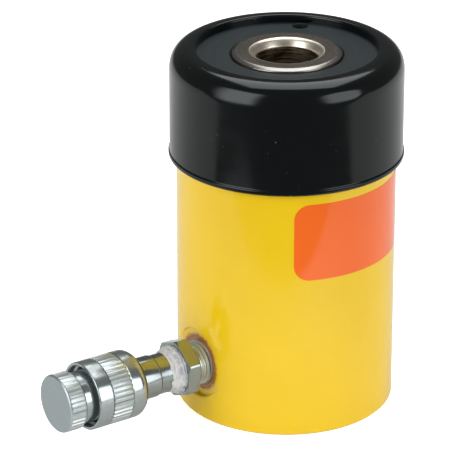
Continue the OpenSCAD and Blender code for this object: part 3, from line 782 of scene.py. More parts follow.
@dataclass
class CylinderBody:
    """The painted body with its collar thread, port recess and blank decal."""

    radius: float = 34.925
    height: float = 116.8
    foot_chamfer: float = 1.1
    foot_round: float = 0.35
    paint_depth: float = 0.6
    top_chamfer: float = 2.2
    rings: tuple[float, ...] = (10.0, 28.0, 55.0)
    thread_low: float = 86.4
    thread_fall: float = 0.9
    thread_lead: float = 2.0
    thread_spare: float = 2.2
    thread_clear: float = 0.06
    thread_root: float = 33.97
    thread_pitch: float = 1.5875
    bore: float = 27.05
    floor: float = 27.0
    gland_r: float = 30.0
    gland_low: float = 102.6
    gland_mouth: float = 0.6
    tube_r: float = 12.75
    ledge: float = 4.0
    hole_r: float = 9.8
    recess_r: float = 11.25
    recess_face: float = 33.425
    recess_edge: float = 0.7
    recess_steps: int = 5
    recess_above: float = 6.0
    port_r: float = 7.15
    port_end: float = 21.425
    feed: float = 23.925
    feed_r: float = 2.5
    base_hole: float = 25.4
    base_hole_r: float = 3.3
    base_hole_depth: float = 14.0

    def build(self) -> None:
        """Make and show the body, its thread and its decal."""
        looks = [Finishes.ENAMEL, Finishes.BARE, Finishes.RECESS]
        show("painted_body", self.shell(), Body.CYLINDER, looks, ["cylinder_body"])
        turns = (self.height - self.top_chamfer - self.thread_low - self.thread_spare) / self.thread_pitch
        foot, crest = self.thread_root - RIDGE_SUNK, self.radius - self.thread_clear
        ridge = helix_ridge(foot, crest, self.thread_pitch, self.thread_low + self.thread_lead, turns, 96)
        show("collar_thread_ridge", ridge, Body.CYLINDER, [Finishes.BARE])
        show("blank_decal", self.decal(), Body.CYLINDER, [Finishes.DECAL])

    def shell(self) -> BMesh:
        """Turn the body and cut its port and base holes.

        Returns:
            The body's mesh, with the paint, bare steel and recess floor numbered 0, 1 and 2.
        """
        top, lip = self.height, self.radius - self.top_chamfer
        mesh = lathe([
            (self.hole_r, 0.0), (self.radius - self.foot_chamfer, 0.0), (self.radius, self.foot_chamfer),
            *((self.radius, height) for height in self.rings), (self.radius, self.thread_low),
            (self.thread_root, self.thread_low + self.thread_fall),
            (self.thread_root, top - (self.thread_root - lip)), (lip, top), (self.gland_r + self.gland_mouth, top),
            (self.gland_r, top - self.gland_mouth), (self.gland_r, self.gland_low), (self.bore, self.gland_low),
            (self.bore, self.floor), (self.tube_r, self.floor), (self.tube_r, self.ledge), (self.hole_r, self.ledge),
        ], 256)
        foot = [(self.radius, self.foot_chamfer), (self.radius - self.foot_chamfer, 0.0)]
        soften(mesh, foot, self.foot_round)
        tools = [
            onto_port(self.recess()),
            onto_port(rod(self.port_r, self.port_end, self.recess_face + CLEAR)),
            shift(rod(self.feed_r, PORT_HEIGHT, self.floor + CLEAR, 48), -self.feed, 0.0, 0.0),
        ]
        for side in (-self.base_hole, self.base_hole):
            tools.append(shift(rod(self.base_hole_r, -CLEAR, self.base_hole_depth, 64), 0.0, side, 0.0))
        return number_faces(cut(mesh, tools), self.face_number)

    def recess(self) -> BMesh:
        """Make the cutter for the port's recess, whose rounded edge follows the body.

        Returns:
            The cutter's mesh, along Z.
        """
        edge, above = self.recess_edge, self.radius + self.recess_above
        turns = [math.radians(90.0 - 90.0 / self.recess_steps * k) for k in range(self.recess_steps + 1)]
        wide, high = self.recess_r + edge, self.radius - edge
        mesh = lathe([
            (0.0, self.recess_face), (self.recess_r - 0.02, self.recess_face),
            *((wide - edge * math.sin(turn), high + edge * math.cos(turn)) for turn in turns),
            (wide, above), (0.0, above),
        ], 128)
        for vert in mesh.verts:
            along = vert.co.z / MM
            if self.recess_face + 0.001 < along < above - CLEAR:
                sag = self.radius - math.sqrt(self.radius**2 - (vert.co.y / MM) ** 2)
                vert.co.z = max(self.recess_face, along - sag) * MM
        return mesh

    def face_number(self, face: BMFace, middle: Vector, out: float) -> int:
        """Tell paint from bare steel and the recess floor by where a face lies.

        Args:
            face: The face.
            middle: Its middle.
            out: The middle's distance from Z.

        Returns:
            0 for paint, 1 for bare steel or 2 for the recess floor.
        """
        from_port = math.hypot(middle.y, middle.z - PORT_HEIGHT)
        if -self.radius < middle.x < 0.0 and from_port < self.recess_r + self.recess_edge + NEAR:
            if abs(middle.x + self.recess_face) < 0.05 and face.normal.x < -0.9:
                return 2
            return 1 if from_port < self.port_r + NEAR else 0
        outside = out > self.radius - self.paint_depth and middle.z < self.thread_low + NEAR
        return 0 if outside or middle.z < 0.05 or (middle.z < self.foot_chamfer and out > self.gland_r) else 1

    def decal(
        self, low: float = 54.2, high: float = 79.8, start: float = -121.4, reach: float = 62.0, corner: float = 5.0,
        columns: int = 60, thickness: float = 0.09, sunk: float = 0.02,
    ) -> BMesh:
        """Make the blank decal, a thin sheet with round corners that follows the body.

        Args:
            low: Height of its lower edge.
            high: Height of its upper edge.
            start: Angle of its first edge round the axis, in degrees.
            reach: Its length round the body.
            corner: Radius of its corners.
            columns: Faces along it.
            thickness: Thickness of the sheet.
            sunk: How far its back lies inside the paint.

        Returns:
            The decal's mesh.
        """
        mesh = bmesh.new()
        outline = ((0, low), (reach, low), (reach, high), (0, high))
        corners = [mesh.verts.new((x * MM, 0.0, z * MM)) for x, z in outline]
        mesh.faces.new(corners)
        round_off(mesh, corners, corner, 8, of="VERTICES")
        for k in range(1, columns):
            every, at = [*mesh.verts, *mesh.edges, *mesh.faces], (reach * k / columns * MM, 0, 0)
            bmesh.ops.bisect_plane(mesh, geom=every, dist=WELD, plane_co=at, plane_no=(1, 0, 0))
        made = bmesh.ops.extrude_face_region(mesh, geom=mesh.faces[:])
        outer = [item for item in made["geom"] if isinstance(item, BMVert)]
        bmesh.ops.translate(mesh, vec=(0.0, -thickness * MM, 0.0), verts=outer)
        for vert in mesh.verts:
            angle = math.radians(start) + vert.co.x / (self.radius * MM)
            out = (self.radius - sunk) * MM - vert.co.y
            vert.co.xy = out * math.cos(angle), out * math.sin(angle)
        bmesh.ops.recalc_face_normals(mesh, faces=mesh.faces)
        return mesh


@dataclass
class ThreadProtector:
    """The slip-on black cap round the collar thread."""

    inner_r: float = 35.225
    outer_r: float = 37.075
    low: float = 83.85
    top: float = 119.4
    seat: float = 116.8
    opening_r: float = 28.8
    bevel: float = 2.25
    shoulder: float = 7.4
    fullness: float = 0.56
    edge: float = 0.7
    lip: float = 0.385
    lip_low: float = 0.3
    lip_high: float = 1.4
    lip_end: float = 1.7
    lip_round: float = 0.2

    def build(self) -> None:
        """Make and show the protector."""
        foot = self.outer_r + self.lip
        bead = [
            (foot, self.low + self.lip_low), (foot, self.low + self.lip_high),
            (self.outer_r, self.low + self.lip_end),
        ]
        mesh = lathe([
            (self.inner_r, self.low), (foot - self.lip_low, self.low), *bead, (self.outer_r, self.top),
            (self.opening_r, self.top), (self.opening_r, self.seat), (self.inner_r - self.bevel, self.seat),
            (self.inner_r, self.seat - self.bevel),
        ], 224)
        soften(mesh, [(self.outer_r, self.top)], self.shoulder, 24, self.fullness)
        soften(mesh, [(self.opening_r, self.top)], self.edge, 5)
        soften(mesh, bead, self.lip_round)
        show("protector_cap", mesh, Body.PROTECTOR, [Finishes.PROTECTOR], ["thread_protector"])


@dataclass
class GlandNut:
    """The blackened nut that closes the bore, with two spanner holes."""

    low: float = 102.6
    top: float = 116.8
    outer_r: float = 29.95
    foot: float = 1.0
    edge: float = 0.6
    mouth: float = 0.4
    bore: float = 17.75
    rod_r: float = 17.45
    wiper_top: float = 115.6
    wiper_h: float = 3.2
    wiper_t: float = 2.2
    bearing_low: float = 104.6
    bearing_h: float = 5.6
    bearing_t: float = 1.6
    spanner_r: float = 26.0
    spanner_hole_r: float = 2.4
    spanner_angle: float = 45.0
    spanner_depth: float = 6.0
    spanner_edge: float = 0.3

    def build(self) -> None:
        """Make and show the nut."""
        wiper_low, wiper_r = self.wiper_top - self.wiper_h, self.rod_r + self.wiper_t
        bearing_top, bearing_r = self.bearing_low + self.bearing_h, self.rod_r + self.bearing_t
        mesh = lathe([
            (self.bore, self.low), (self.outer_r - self.foot, self.low), (self.outer_r, self.low + self.foot),
            (self.outer_r, self.top - self.edge), (self.outer_r - self.edge, self.top),
            (self.bore + self.mouth, self.top), (self.bore, self.top - self.mouth), (self.bore, self.wiper_top),
            (wiper_r, self.wiper_top), (wiper_r, wiper_low), (self.bore, wiper_low), (self.bore, bearing_top),
            (bearing_r, bearing_top), (bearing_r, self.bearing_low), (self.bore, self.bearing_low),
        ])
        tools = []
        for turn in (0.0, 180.0):
            angle = math.radians(self.spanner_angle + turn)
            floor, wide = self.top - self.spanner_depth, self.spanner_hole_r + self.spanner_edge
            sink = lathe([
                (0.0, floor), (self.spanner_hole_r, floor), (self.spanner_hole_r, self.top - self.spanner_edge),
                (wide, self.top), (wide, self.top + CLEAR), (0.0, self.top + CLEAR),
            ], 64)
            tools.append(shift(sink, self.spanner_r * math.cos(angle), self.spanner_r * math.sin(angle), 0.0))
        show("gland_nut_face", cut(mesh, tools), Body.CYLINDER, [Finishes.GLAND], ["gland_nut"])


@dataclass
class Plunger:
    """The hollow plunger."""

    low: float = 36.35
    top: float = 118.0
    rod_r: float = 17.45
    bore: float = 13.0
    hole_r: float = 9.8
    land: float = 102.0
    chamfer: float = 1.3
    chamfer_h: float = 0.75
    edge_round: float = 0.25
    mouth: float = 1.45
    mouth_depth: float = 2.3
    worn: float = 0.9
    foot_round: float = 0.4

    def build(self) -> None:
        """Make and show the plunger."""
        edge = [(self.rod_r, self.top - self.chamfer_h), (self.rod_r - self.chamfer, self.top)]
        mouth, foot = (self.hole_r + self.mouth, self.top), (self.hole_r, self.top - self.mouth_depth)
        mesh = lathe([
            (self.bore, self.low), (self.rod_r, self.low), *edge, mouth, foot, (self.hole_r, self.land),
            (self.bore, self.land),
        ])
        soften(mesh, edge, self.edge_round, 4)
        soften(mesh, [mouth], self.worn, 10)
        soften(mesh, [foot], self.foot_round, 5)
        looks = [Finishes.PLUNGER, Finishes.TUBE, Finishes.MOUTH, Finishes.EDGE]
        show("plunger_rod", number_faces(mesh, self.face_number), Body.PLUNGER, looks, ["plunger"])

    def face_number(self, _: BMFace, middle: Vector, out: float) -> int:
        """Tell the hole, its mouth and the outer chamfer from the rest by where a face lies.

        Args:
            middle: The face's middle.
            out: The middle's distance from Z.

        Returns:
            0 for the rod, 1 for the hole, 2 for its mouth or 3 for the chamfer.
        """
        foot = self.top - self.mouth_depth
        if out < self.hole_r + 0.05 and middle.z < foot:
            return 1
        if out > self.rod_r - self.chamfer and middle.z > self.top - self.chamfer_h:
            return 3
        in_mouth = out < self.hole_r + self.mouth + self.worn - NEAR and middle.z > foot - self.foot_round
        return 2 if in_mouth else 0


@dataclass
class ReturnSpring:
    """The spring between the piston and the gland nut."""

    low: float = 40.9
    high: float = 102.5
    mean_r: float = 22.25
    wire: float = 3.9
    turns: int = 5
    keep: float = 0.31

    def build(self) -> None:
        """Make and show the spring. In the real cylinder it closes up against the nut as the plunger rises."""
        mesh = shift(coil(self.mean_r, self.wire, self.turns, self.high - self.low), 0.0, 0.0, self.low)
        piece = show("return_coil", mesh, Body.CYLINDER, [Finishes.SPRING], ["return_spring"])
        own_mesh(piece)


@dataclass
class PortFitting:
    """The hexagon adapter in the port, with its thread and the sealant squeezed out of it."""

    end: float = 27.025
    hexagon: float = 39.025
    hexagon_end: float = 43.4
    across_flats: float = 17.4
    worn_edge: float = 0.6
    turned: float = -7.0
    chamfer: float = 0.6
    chamfer_run: float = 1.4
    thread_r: float = 7.1
    thread_lead: float = 0.75
    thread_spare: float = 1.4
    root_r: float = 6.35
    root_edge: float = 0.4
    root_sunk: float = 0.6
    pitch: float = 1.411
    feed_r: float = 2.5
    socket_r: float = 6.55
    socket: float = 39.225
    shank_r: float = 6.5
    sealant_l: float = 4.5
    sealant_t: float = 1.25
    sealant_edge: float = 0.08
    sealant_rows: int = 18
    sealant_fall: float = 1.1
    ragged_l: float = 1.1
    ragged_turn: float = 2.2
    ridge_t: float = 0.55
    ridge_turn: float = 1.3
    ridge_along: float = 7.0
    ridge_rise: float = 1.6
    lump_t: float = 0.35
    lump_size: float = 1.1
    gap: float = 0.03

    def build(self) -> None:
        """Make and show the adapter, its thread and the sealant."""
        show("hex_adapter", onto_port(self.adapter()), Body.CYLINDER, [Finishes.STEM], ["port_adapter"], 12.0)
        turns = (self.hexagon - self.end - self.thread_spare) / self.pitch
        foot, start = self.root_r - RIDGE_SUNK, self.end + self.thread_lead
        ridge = helix_ridge(foot, self.thread_r, self.pitch, start, turns)
        show("adapter_thread_ridge", onto_port(ridge), Body.CYLINDER, [Finishes.THREAD])
        show("sealant_smear", onto_port(self.smear()), Body.CYLINDER, [Finishes.SEALANT], ["thread_sealant"], 60.0)

    def adapter(self) -> BMesh:
        """Make the hexagon on its threaded stem.

        Returns:
            The adapter's mesh, along Z.
        """
        corner = self.across_flats / math.sqrt(3.0)
        prism = rod(corner, self.hexagon, self.hexagon_end, 6)
        first = max(prism.verts, key=lambda vert: vert.co.x)
        turn = math.radians(self.turned) - math.atan2(first.co.y, first.co.x)
        bmesh.ops.rotate(prism, cent=(0, 0, 0), matrix=Matrix.Rotation(turn, 3, "Z"), verts=prism.verts)
        upright = [edge for edge in prism.edges if abs(edge.verts[0].co.z - edge.verts[1].co.z) > MM]
        round_off(prism, upright, self.worn_edge, 4)
        low, wide = corner - self.chamfer * self.chamfer_run, corner + 2.0 * NEAR
        start, end = self.hexagon - 0.001, self.hexagon_end + 0.001
        trim = lathe([
            (0.0, start), (low, start), (wide, self.hexagon + self.chamfer), (wide, self.hexagon_end - self.chamfer),
            (low, end), (0.0, end),
        ], 96)
        nut = cut(cut(prism, [trim], "INTERSECT"), [
            rod(self.socket_r, self.socket, self.hexagon_end + CLEAR),
            rod(self.feed_r, self.end, self.socket + 0.5, 48),
        ])
        sunk = self.hexagon + self.root_sunk
        stem = lathe([
            (self.feed_r, self.end), (self.root_r - self.root_edge, self.end),
            (self.root_r, self.end + self.root_edge), (self.root_r, sunk), (self.feed_r, sunk),
        ], 96)
        data = bpy.data.meshes.new("stem")
        stem.to_mesh(data)
        stem.free()
        nut.from_mesh(data)
        bpy.data.meshes.remove(data)
        return nut

    def smear(self) -> BMesh:
        """Make the sealant, a cone with an uneven edge and skin.

        Returns:
            The sealant's mesh, along Z.
        """
        inner, start = self.shank_r + self.gap, self.hexagon_end + self.gap
        skin = []
        for row in range(self.sealant_rows + 1):
            share = row / self.sealant_rows
            thickness = self.sealant_t * (1.0 - share) ** self.sealant_fall + self.sealant_edge
            skin.append((inner + thickness, start + self.sealant_l * share))
        mesh = lathe([(inner, start), *skin, (inner, start + self.sealant_l)], 160)
        for vert in mesh.verts:
            out = math.hypot(vert.co.x, vert.co.y)
            above = out / MM - inner
            if above > 0.02:
                along = (vert.co.z / MM - start) / self.sealant_l
                round_it = vert.co.xy / out
                ragged = noise.noise(Vector((*(self.ragged_turn * round_it), 0.0)))
                ridge = noise.noise(Vector((*(self.ridge_turn * round_it), along * self.ridge_along)))
                lump = noise.noise(vert.co / (self.lump_size * MM)) * self.lump_t
                vert.co.z += (ragged * self.ragged_l + lump) * along * MM
                rise = min(1.0, above * self.ridge_rise)
                vert.co.xy *= 1.0 + (ridge * self.ridge_t + lump) * MM / out * rise
        return mesh


@dataclass
class CouplerBody:
    """The fixed part of the coupler half, and the pieces of its valve."""

    tail: float = 39.425
    step: float = 52.425
    step_l: float = 0.4
    step_round: float = 0.12
    dirt_and_shade_low: float = 0.5
    dirt_and_shade_high: float = 0.05
    shank_r: float = 6.5
    neck_r: float = 6.875
    flange: float = 59.725
    flange_r: float = 8.8
    flange_t: float = 2.5
    nose: float = 73.675
    nose_r: float = 7.2
    edge: float = 0.5
    chamber: float = 61.875
    chamber_r: float = 4.4
    feed_r: float = 2.2
    groove_r: float = 6.5
    groove_t: float = 1.4
    groove_h: float = 1.2
    spring_r: float = 2.95
    wire: float = 0.7
    turns: int = 4
    spring_l: float = 5.9
    gap: float = 0.05

    def build(self) -> None:
        """Make and show the coupler body and its valve spring."""
        groove, floor, front = self.groove_r - self.groove_t, self.nose - self.groove_h, self.flange + self.flange_t
        step = [(self.shank_r, self.step - self.step_l), (self.neck_r, self.step)]
        mesh = lathe([
            (self.feed_r, self.tail), (self.shank_r - self.edge, self.tail), (self.shank_r, self.tail + self.edge),
            *step, (self.neck_r, self.flange), (self.flange_r, self.flange), (self.flange_r, front),
            (self.nose_r, front), (self.nose_r, self.nose - self.edge), (self.nose_r - self.edge, self.nose),
            (self.groove_r, self.nose), (self.groove_r, floor), (groove, floor), (groove, self.nose),
            (self.chamber_r, self.nose), (self.chamber_r, self.chamber), (self.feed_r, self.chamber),
        ], 144)
        soften(mesh, step, self.step_round)
        number_faces(mesh, self.face_number)
        show("coupler_stem", onto_port(mesh), Body.CYLINDER, [Finishes.STEM, Finishes.SPRING], ["coupler_body"])
        foot = self.chamber + self.gap
        spring = shift(coil(self.spring_r, self.wire, self.turns, self.spring_l, 8, 24), 0.0, 0.0, foot)
        piece = show("valve_coil", onto_port(spring), Body.CYLINDER, [Finishes.SPRING], ["valve_spring"])
        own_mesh(piece)

    def face_number(self, _: BMFace, middle: Vector, out: float) -> int:
        """Tell the step of the stem, darkened as dirt and painted shade in its corner, from the rest."""
        # A dark ring just below the step: painted shade in the corner, with dirt.
        on_step = self.step - self.dirt_and_shade_low < middle.z < self.step - self.dirt_and_shade_high
        return int(on_step and out > self.shank_r - NEAR)


@dataclass
class CouplerCollar:
    """The knurled collar that turns on the coupler body."""

    start: float = 58.7
    end: float = 78.025
    radius: float = 11.0
    shoulder: float = 3.7
    edge: float = 0.4
    mouth_edge: float = 0.2
    bore: float = 7.175
    wall: float = 59.525
    thread_r: float = 9.3
    mouth_r: float = 10.0
    mouth: float = 75.025
    mouth_slope: float = 0.5
    knurl_low: float = 65.625
    knurl_high: float = 72.725
    ribs: int = 42
    depth: float = 0.4
    rib_edge: float = 0.05
    rib_start: float = 0.1
    rib_full: float = 0.25
    groove: float = 0.55
    slope: float = 0.4

    def build(self) -> None:
        """Make and show the collar."""
        low, high, out, rib = self.knurl_low, self.knurl_high, self.radius, self.radius - self.rib_edge
        step = out - self.groove
        mesh = lathe([
            (self.bore, self.start), (out, self.start), (out, low - self.slope), (step, low),
            (rib, low + self.rib_start), (out, low + self.rib_full), (out, high - self.rib_full),
            (rib, high - self.rib_start), (step, high), (out, high + self.slope), (out, self.end),
            (self.mouth_r, self.end), (self.mouth_r, self.mouth + self.mouth_slope), (self.thread_r, self.mouth),
            (self.thread_r, self.wall), (self.bore, self.wall),
        ], self.ribs * RIB_FACES)
        soften(mesh, [(out, self.start)], self.shoulder, 12)
        soften(mesh, [(out, self.end)], self.edge, 4)
        soften(mesh, [(self.mouth_r, self.end)], self.mouth_edge)
        knurl(mesh, low, high, out, self.ribs, self.depth)
        knurl(mesh, low, high, rib, self.ribs, self.depth - self.rib_edge)
        number_faces(mesh, self.face_number)
        finishes = [Finishes.PLATING, Finishes.KNURL, Finishes.SPRING]
        show("knurled_collar", onto_port(mesh), Body.COLLAR, finishes, ["coupler_collar"], 24.0)

    def face_number(self, _: BMFace, middle: Vector, out: float) -> int:
        """Tell the knurl and the bore, and the rear edge painted dark as shade towards the body, from the rest.

        Args:
            middle: The face's middle.
            out: The middle's distance from Z.

        Returns:
            0 for plating, 1 for the knurl or the bore, or 2 for the rear edge.
        """
        if out < self.mouth_r + NEAR and middle.z > self.start + self.shoulder:
            return 1
        # The rear edge gets the dark spring steel: painted shade where the collar faces the body.
        if middle.z < self.start + self.shoulder * 0.5:
            return 2
        return int(self.knurl_low < middle.z < self.knurl_high)


@dataclass
class DustCap:
    """The knurled cap that screws into the collar."""

    thread: float = 66.025
    thread_end: float = 73.525
    thread_r: float = 9.2
    thread_low_edge: float = 0.6
    thread_high_edge: float = 0.5
    neck_r: float = 8.3
    head: float = 81.625
    head_edge: float = 0.6
    end: float = 87.825
    end_round: float = 0.8
    head_r: float = 9.4
    bore: float = 7.5
    bottom: float = 76.025
    back_round: float = 0.15
    knurl_start: float = 0.5
    knurl_stop: float = 0.75
    knurl_skin: float = 0.7
    ribs: int = 38
    depth: float = 0.4

    def build(self) -> None:
        """Make and show the cap."""
        low, high, back = self.thread_low_edge, self.thread_high_edge, self.head + self.head_edge
        mesh = lathe([
            (self.bore, self.thread), (self.thread_r - low, self.thread), (self.thread_r, self.thread + low),
            (self.thread_r, self.thread_end - high), (self.thread_r - high, self.thread_end),
            (self.neck_r, self.thread_end), (self.neck_r, self.head), (self.head_r - self.head_edge, self.head),
            (self.head_r, back), (self.head_r, self.end), (0.0, self.end), (0.0, self.bottom),
            (self.bore, self.bottom),
        ], self.ribs * RIB_FACES)
        soften(mesh, [(self.head_r, self.end)], self.end_round, 6)
        soften(mesh, [(self.head_r, back)], self.back_round, 2)
        knurl(mesh, self.head + self.knurl_start, self.end - self.knurl_stop, self.head_r, self.ribs, self.depth)
        number_faces(mesh, self.face_number)
        finishes = [Finishes.PLATING, Finishes.SATIN, Finishes.KNURL]
        show("knurled_cap", onto_port(mesh), Body.CAP, finishes, ["dust_cap"], 24.0)

    def face_number(self, face: BMFace, middle: Vector, out: float) -> int:
        """Tell the end face and the knurl from the rest.

        Args:
            face: The face.
            middle: Its middle.
            out: The middle's distance from Z.

        Returns:
            0 for plating, 1 for the end face or 2 for the knurl.
        """
        if face.normal.z > 0.9 and middle.z > self.end - NEAR:
            return 1
        return 2 if middle.z > self.head + self.knurl_start and out > self.head_r - self.knurl_skin else 0


@dataclass
class InnerPieces:
    """Pieces inside the object that keep the shape of their solids."""

    def build(self, nodes: dict[str, Object]) -> None:
        """Dress the remaining nodes.

        Args:
            nodes: The frame's nodes by name.
        """
        chosen: dict[str, Finish] = {
            "centre_tube": Finishes.TUBE, "tube_sealing_ring": Finishes.RUBBER, "gland_bearing": Finishes.BRONZE,
            "plunger_wiper": Finishes.RUBBER, "valve_seat": Finishes.BRONZE, "nose_seal": Finishes.RUBBER,
            "piston_seal": Finishes.LIP_SEAL, "piston_backup_ring": Finishes.BACKUP,
            "piston_wear_ring": Finishes.WEAR, "inner_seal": Finishes.LIP_SEAL, "inner_backup_ring": Finishes.BACKUP,
            "dust_cap_disc": Finishes.RUBBER, "valve_poppet": Finishes.PLATING, "piston": Finishes.PLUNGER,
        }
        for name, finish in chosen.items():
            data = nodes[name].data
            data.materials.clear()
            data.materials.append(finish.material())
            LOG.info("node %s dressed with %s", name, finish.name)


@dataclass(frozen=True)
class SoftBox:
    """A wide soft lamp.

    Attributes:
        name: The lamp's name.
        place: Metres to the right of the object, behind it and above the table.
        size: Width and height, in metres.
        power: Power in watts.
        target: The point that it faces, counted in the same way as its place.
        shape: Its outline.
        fade: Shares of its width and height that the fall takes on the left, on the right and at the foot.
        mirrored: Whether reflections show it.
    """

    name: str
    place: Triple
    size: Point
    power: float
    target: Triple = (0.0, 0.0, 0.1)
    shape: str = "RECTANGLE"
    fade: Triple | None = None
    mirrored: bool = True


@dataclass
class Studio:
    """The camera, the lamps, the pale floor and the white surround.

    The table's shade and light_pool each hold where a change begins and ends, in metres, and the tones there.
    Both are painted into what reflections see of the table: shade towards the front and a patch of light round
    light_pool_spot.
    """

    focal_px: float = 3339.04
    frame_px: float = 450.0
    distance: float = 1069.99
    elevation: float = 23.470
    heading: float = -34.638
    middle: float = 60.0
    offset_right: float = 19.44
    offset_up: float = 1.616
    room_light: float = 0.12
    table_half: float = 1.6
    table_front: float = 0.152
    table_drop: float = 0.0002
    table_turn: float = -4.3
    table_tone: Colour = (0.92, 0.92, 0.92)
    backlight: float = 0.17
    whiteness: float = 0.78
    # Painted shade and a painted patch of light in the table's reflections: darker towards the front, brighter round
    # light_pool_spot.
    shade: tuple[float, ...] = (-0.06, 0.25, 0.56, 0.8)
    light_pool: tuple[float, ...] = (0.0, 0.105, 0.45, 0.0)
    light_pool_spot: Triple = (0.05, -0.11, 0.0)
    lamp_reach: float = 1.2
    lamp_rise: float = 0.1

    def build(self) -> None:
        """Set up the view, the light and the floor."""
        scene = bpy.context.scene
        scene.view_settings.view_transform = "Standard"
        self.camera(scene)
        self.surround(scene)
        self.floor()
        self.lamps()

    def spot(self, place: Sequence[float]) -> Vector:
        """Turn metres to the right of the object, behind it and above the table into a place."""
        return Matrix.Rotation(math.radians(self.heading), 3, "Z") @ Vector(place)

    def camera(self, scene: Scene) -> None:
        """Place the camera where the photograph was taken from.

        Args:
            scene: The scene that gets the camera.
        """
        rise = math.radians(self.elevation)
        right = self.spot((1.0, 0.0, 0.0))
        forward = self.spot((0.0, math.cos(rise), -math.sin(rise)))
        up = right.cross(forward)
        place = Vector((0, 0, self.middle)) - forward * self.distance
        place -= right * self.offset_right + up * self.offset_up
        data = bpy.data.cameras.new("camera")
        data.sensor_fit = "HORIZONTAL"
        data.sensor_width = 36.0
        data.lens = self.focal_px / self.frame_px * data.sensor_width
        data.clip_start, data.clip_end = 0.01, 50.0
        camera = bpy.data.objects.new("camera", data)
        turn = Matrix((right, up, -forward)).transposed().to_4x4()
        camera.matrix_world = Matrix.Translation(place * MM) @ turn
        scene.collection.objects.link(camera)
        scene.camera = camera

    def surround(self, scene: Scene) -> None:
        """Make the world white to the camera and a dim room to everything else.

        Args:
            scene: The scene that gets the world.
        """
        scene.world = bpy.data.worlds.new("surround")
        graph = Graph(scene.world)
        room, white = (
            graph.node("Background", {"Color": (1.0, 1.0, 1.0, 1.0), "Strength": strength}).outputs[0]
            for strength in (self.room_light, 1.0)
        )
        seen = graph.node("LightPath").outputs["Is Camera Ray"]
        both = graph.node("MixShader", {"Fac": seen, 1: room, 2: white}).outputs[0]
        graph.node("OutputWorld", {"Surface": both})

    def floor(self) -> None:
        """Lay the pale table top, which ends just in front of the object, with painted shade and a painted patch of
        light in its reflections.
        """
        mesh = bmesh.new()
        bmesh.ops.create_grid(mesh, x_segments=8, y_segments=8, size=self.table_half)
        place = (0.0, self.table_half - self.table_front, -self.table_drop)
        bmesh.ops.translate(mesh, vec=place, verts=mesh.verts)
        turn = Matrix.Rotation(math.radians(self.heading + self.table_turn), 3, "Z")
        bmesh.ops.rotate(mesh, cent=(0, 0, 0), matrix=turn, verts=mesh.verts)
        table = as_object("table_top", mesh)
        material = bpy.data.materials.new("table_white")
        graph = Graph(material)
        path = graph.node("LightPath").outputs
        here = graph.node("TexCoord").outputs["Object"]
        depth, near = (
            graph.node("VectorMath", {0: here, 1: self.spot(place)}, operation=operation).outputs["Value"]
            for place, operation in (((0.0, 1.0, 0.0), "DOT_PRODUCT"), (self.light_pool_spot, "DISTANCE"))
        )
        # Painted light and shade: what reflections see of the table is darker towards the front and brighter round
        # light_pool_spot.
        mirrored = graph.math("ADD", graph.ramp(depth, *self.shade), graph.ramp(near, *self.light_pool))
        tone = graph.blend(path["Is Glossy Ray"], self.table_tone, mirrored)
        paint = graph.node("BsdfDiffuse", {"Color": tone}).outputs[0]
        white = graph.ramp(path["Is Camera Ray"], 0.0, 1.0, self.backlight, self.whiteness)
        glow = graph.node("Emission", {"Strength": white}).outputs[0]
        graph.node("OutputMaterial", {"Surface": graph.node("AddShader", {0: paint, 1: glow}).outputs[0]})
        table.data.materials.append(material)

    def lamps(self) -> None:
        """Hang the soft boxes: a tall one on each side of the camera and a wide one overhead."""
        near = self.around
        for box in (
            SoftBox("soft_left", near(-52.0, 15.0), (1.15, 1.38), 15.0, fade=(0.4, 0.22, 0.16)),
            SoftBox("soft_right", near(52.0, 12.0), (0.98, 1.0), 6.0, shape="ELLIPSE", fade=(0.3, 0.1, 0.16)),
            SoftBox("fill_left", near(-52.0, 17.0), (1.1, 1.3), 2.4, mirrored=False),
            SoftBox("fill_right", near(66.0, 12.5), (1.1, 0.95), 3.8, mirrored=False),
            SoftBox("soft_top", (0.09, 0.53, 1.22), (1.03, 1.25), 10.6, target=(0.09, 0.42, 0.0)),
        ):
            self.hang(box)

    def around(self, side: float, rise: float) -> Triple:
        """Find a place round the object.

        Args:
            side: Angle round from the camera's side, to the right, in degrees.
            rise: Angle above the table, in degrees.

        Returns:
            Metres to the right of the object, behind it and above the table.
        """
        turn, up = math.radians(side), math.radians(rise)
        flat = math.cos(up) * self.lamp_reach
        return math.sin(turn) * flat, -math.cos(turn) * flat, math.sin(up) * self.lamp_reach + self.lamp_rise

    def hang(self, box: SoftBox) -> None:
        """Hang one soft box.

        Args:
            box: The soft box.
        """
        spot = self.spot(box.place)
        data = bpy.data.lights.new(box.name, "AREA")
        data.shape = box.shape
        data.size, data.size_y = box.size
        data.energy = box.power
        lamp = bpy.data.objects.new(box.name, data)
        lamp.location = spot
        lamp.rotation_euler = (spot - self.spot(box.target)).to_track_quat("Z", "Y").to_euler()
        lamp.visible_glossy = box.mirrored
        bpy.context.scene.collection.objects.link(lamp)
        if box.fade:
            self.fade(data, *box.fade)

    @staticmethod
    def fade(data: bpy.types.Light, left: float, right: float, foot: float) -> None:
        """Let a soft box fall off towards its sides and its foot.

        Args:
            data: The soft box's light.
            left: Share of its width that the fall takes on the left.
            right: The same on the right.
            foot: Share of its height that the fall takes at the foot.
        """
        graph = Graph(data)
        across = graph.node("NewGeometry").outputs["Parametric"]
        split = graph.node("SeparateXYZ", {0: across}).outputs
        edges = (("X", 0.0, left), ("X", 1.0, 1.0 - right), ("Y", 0.0, foot))
        falls = [graph.ramp(split[axis], start, end, shape="SMOOTHSTEP") for axis, start, end in edges]
        strength = graph.math("MULTIPLY", graph.math("MULTIPLY", falls[0], falls[1]), falls[2])
        glow = graph.node("Emission", {"Strength": strength}).outputs[0]
        graph.node("OutputLight", {"Surface": glow})


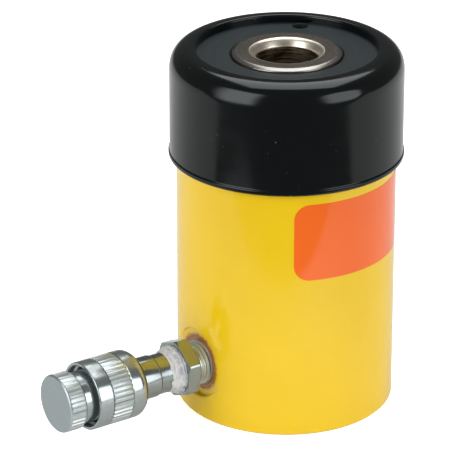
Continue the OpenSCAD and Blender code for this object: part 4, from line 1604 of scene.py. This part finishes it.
def main() -> None:
    """Build every sub-assembly in order."""
    logging.basicConfig(level=logging.INFO, format="%(name)s: %(message)s")
    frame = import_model()
    Studio().build()
    for part in (CylinderBody(), ThreadProtector(), GlandNut(), Plunger(), ReturnSpring(), PortFitting(),
                 CouplerBody(), CouplerCollar(), DustCap()):
        part.build()
    InnerPieces().build(frame["nodes"])


if __name__ == "__main__":
    main()
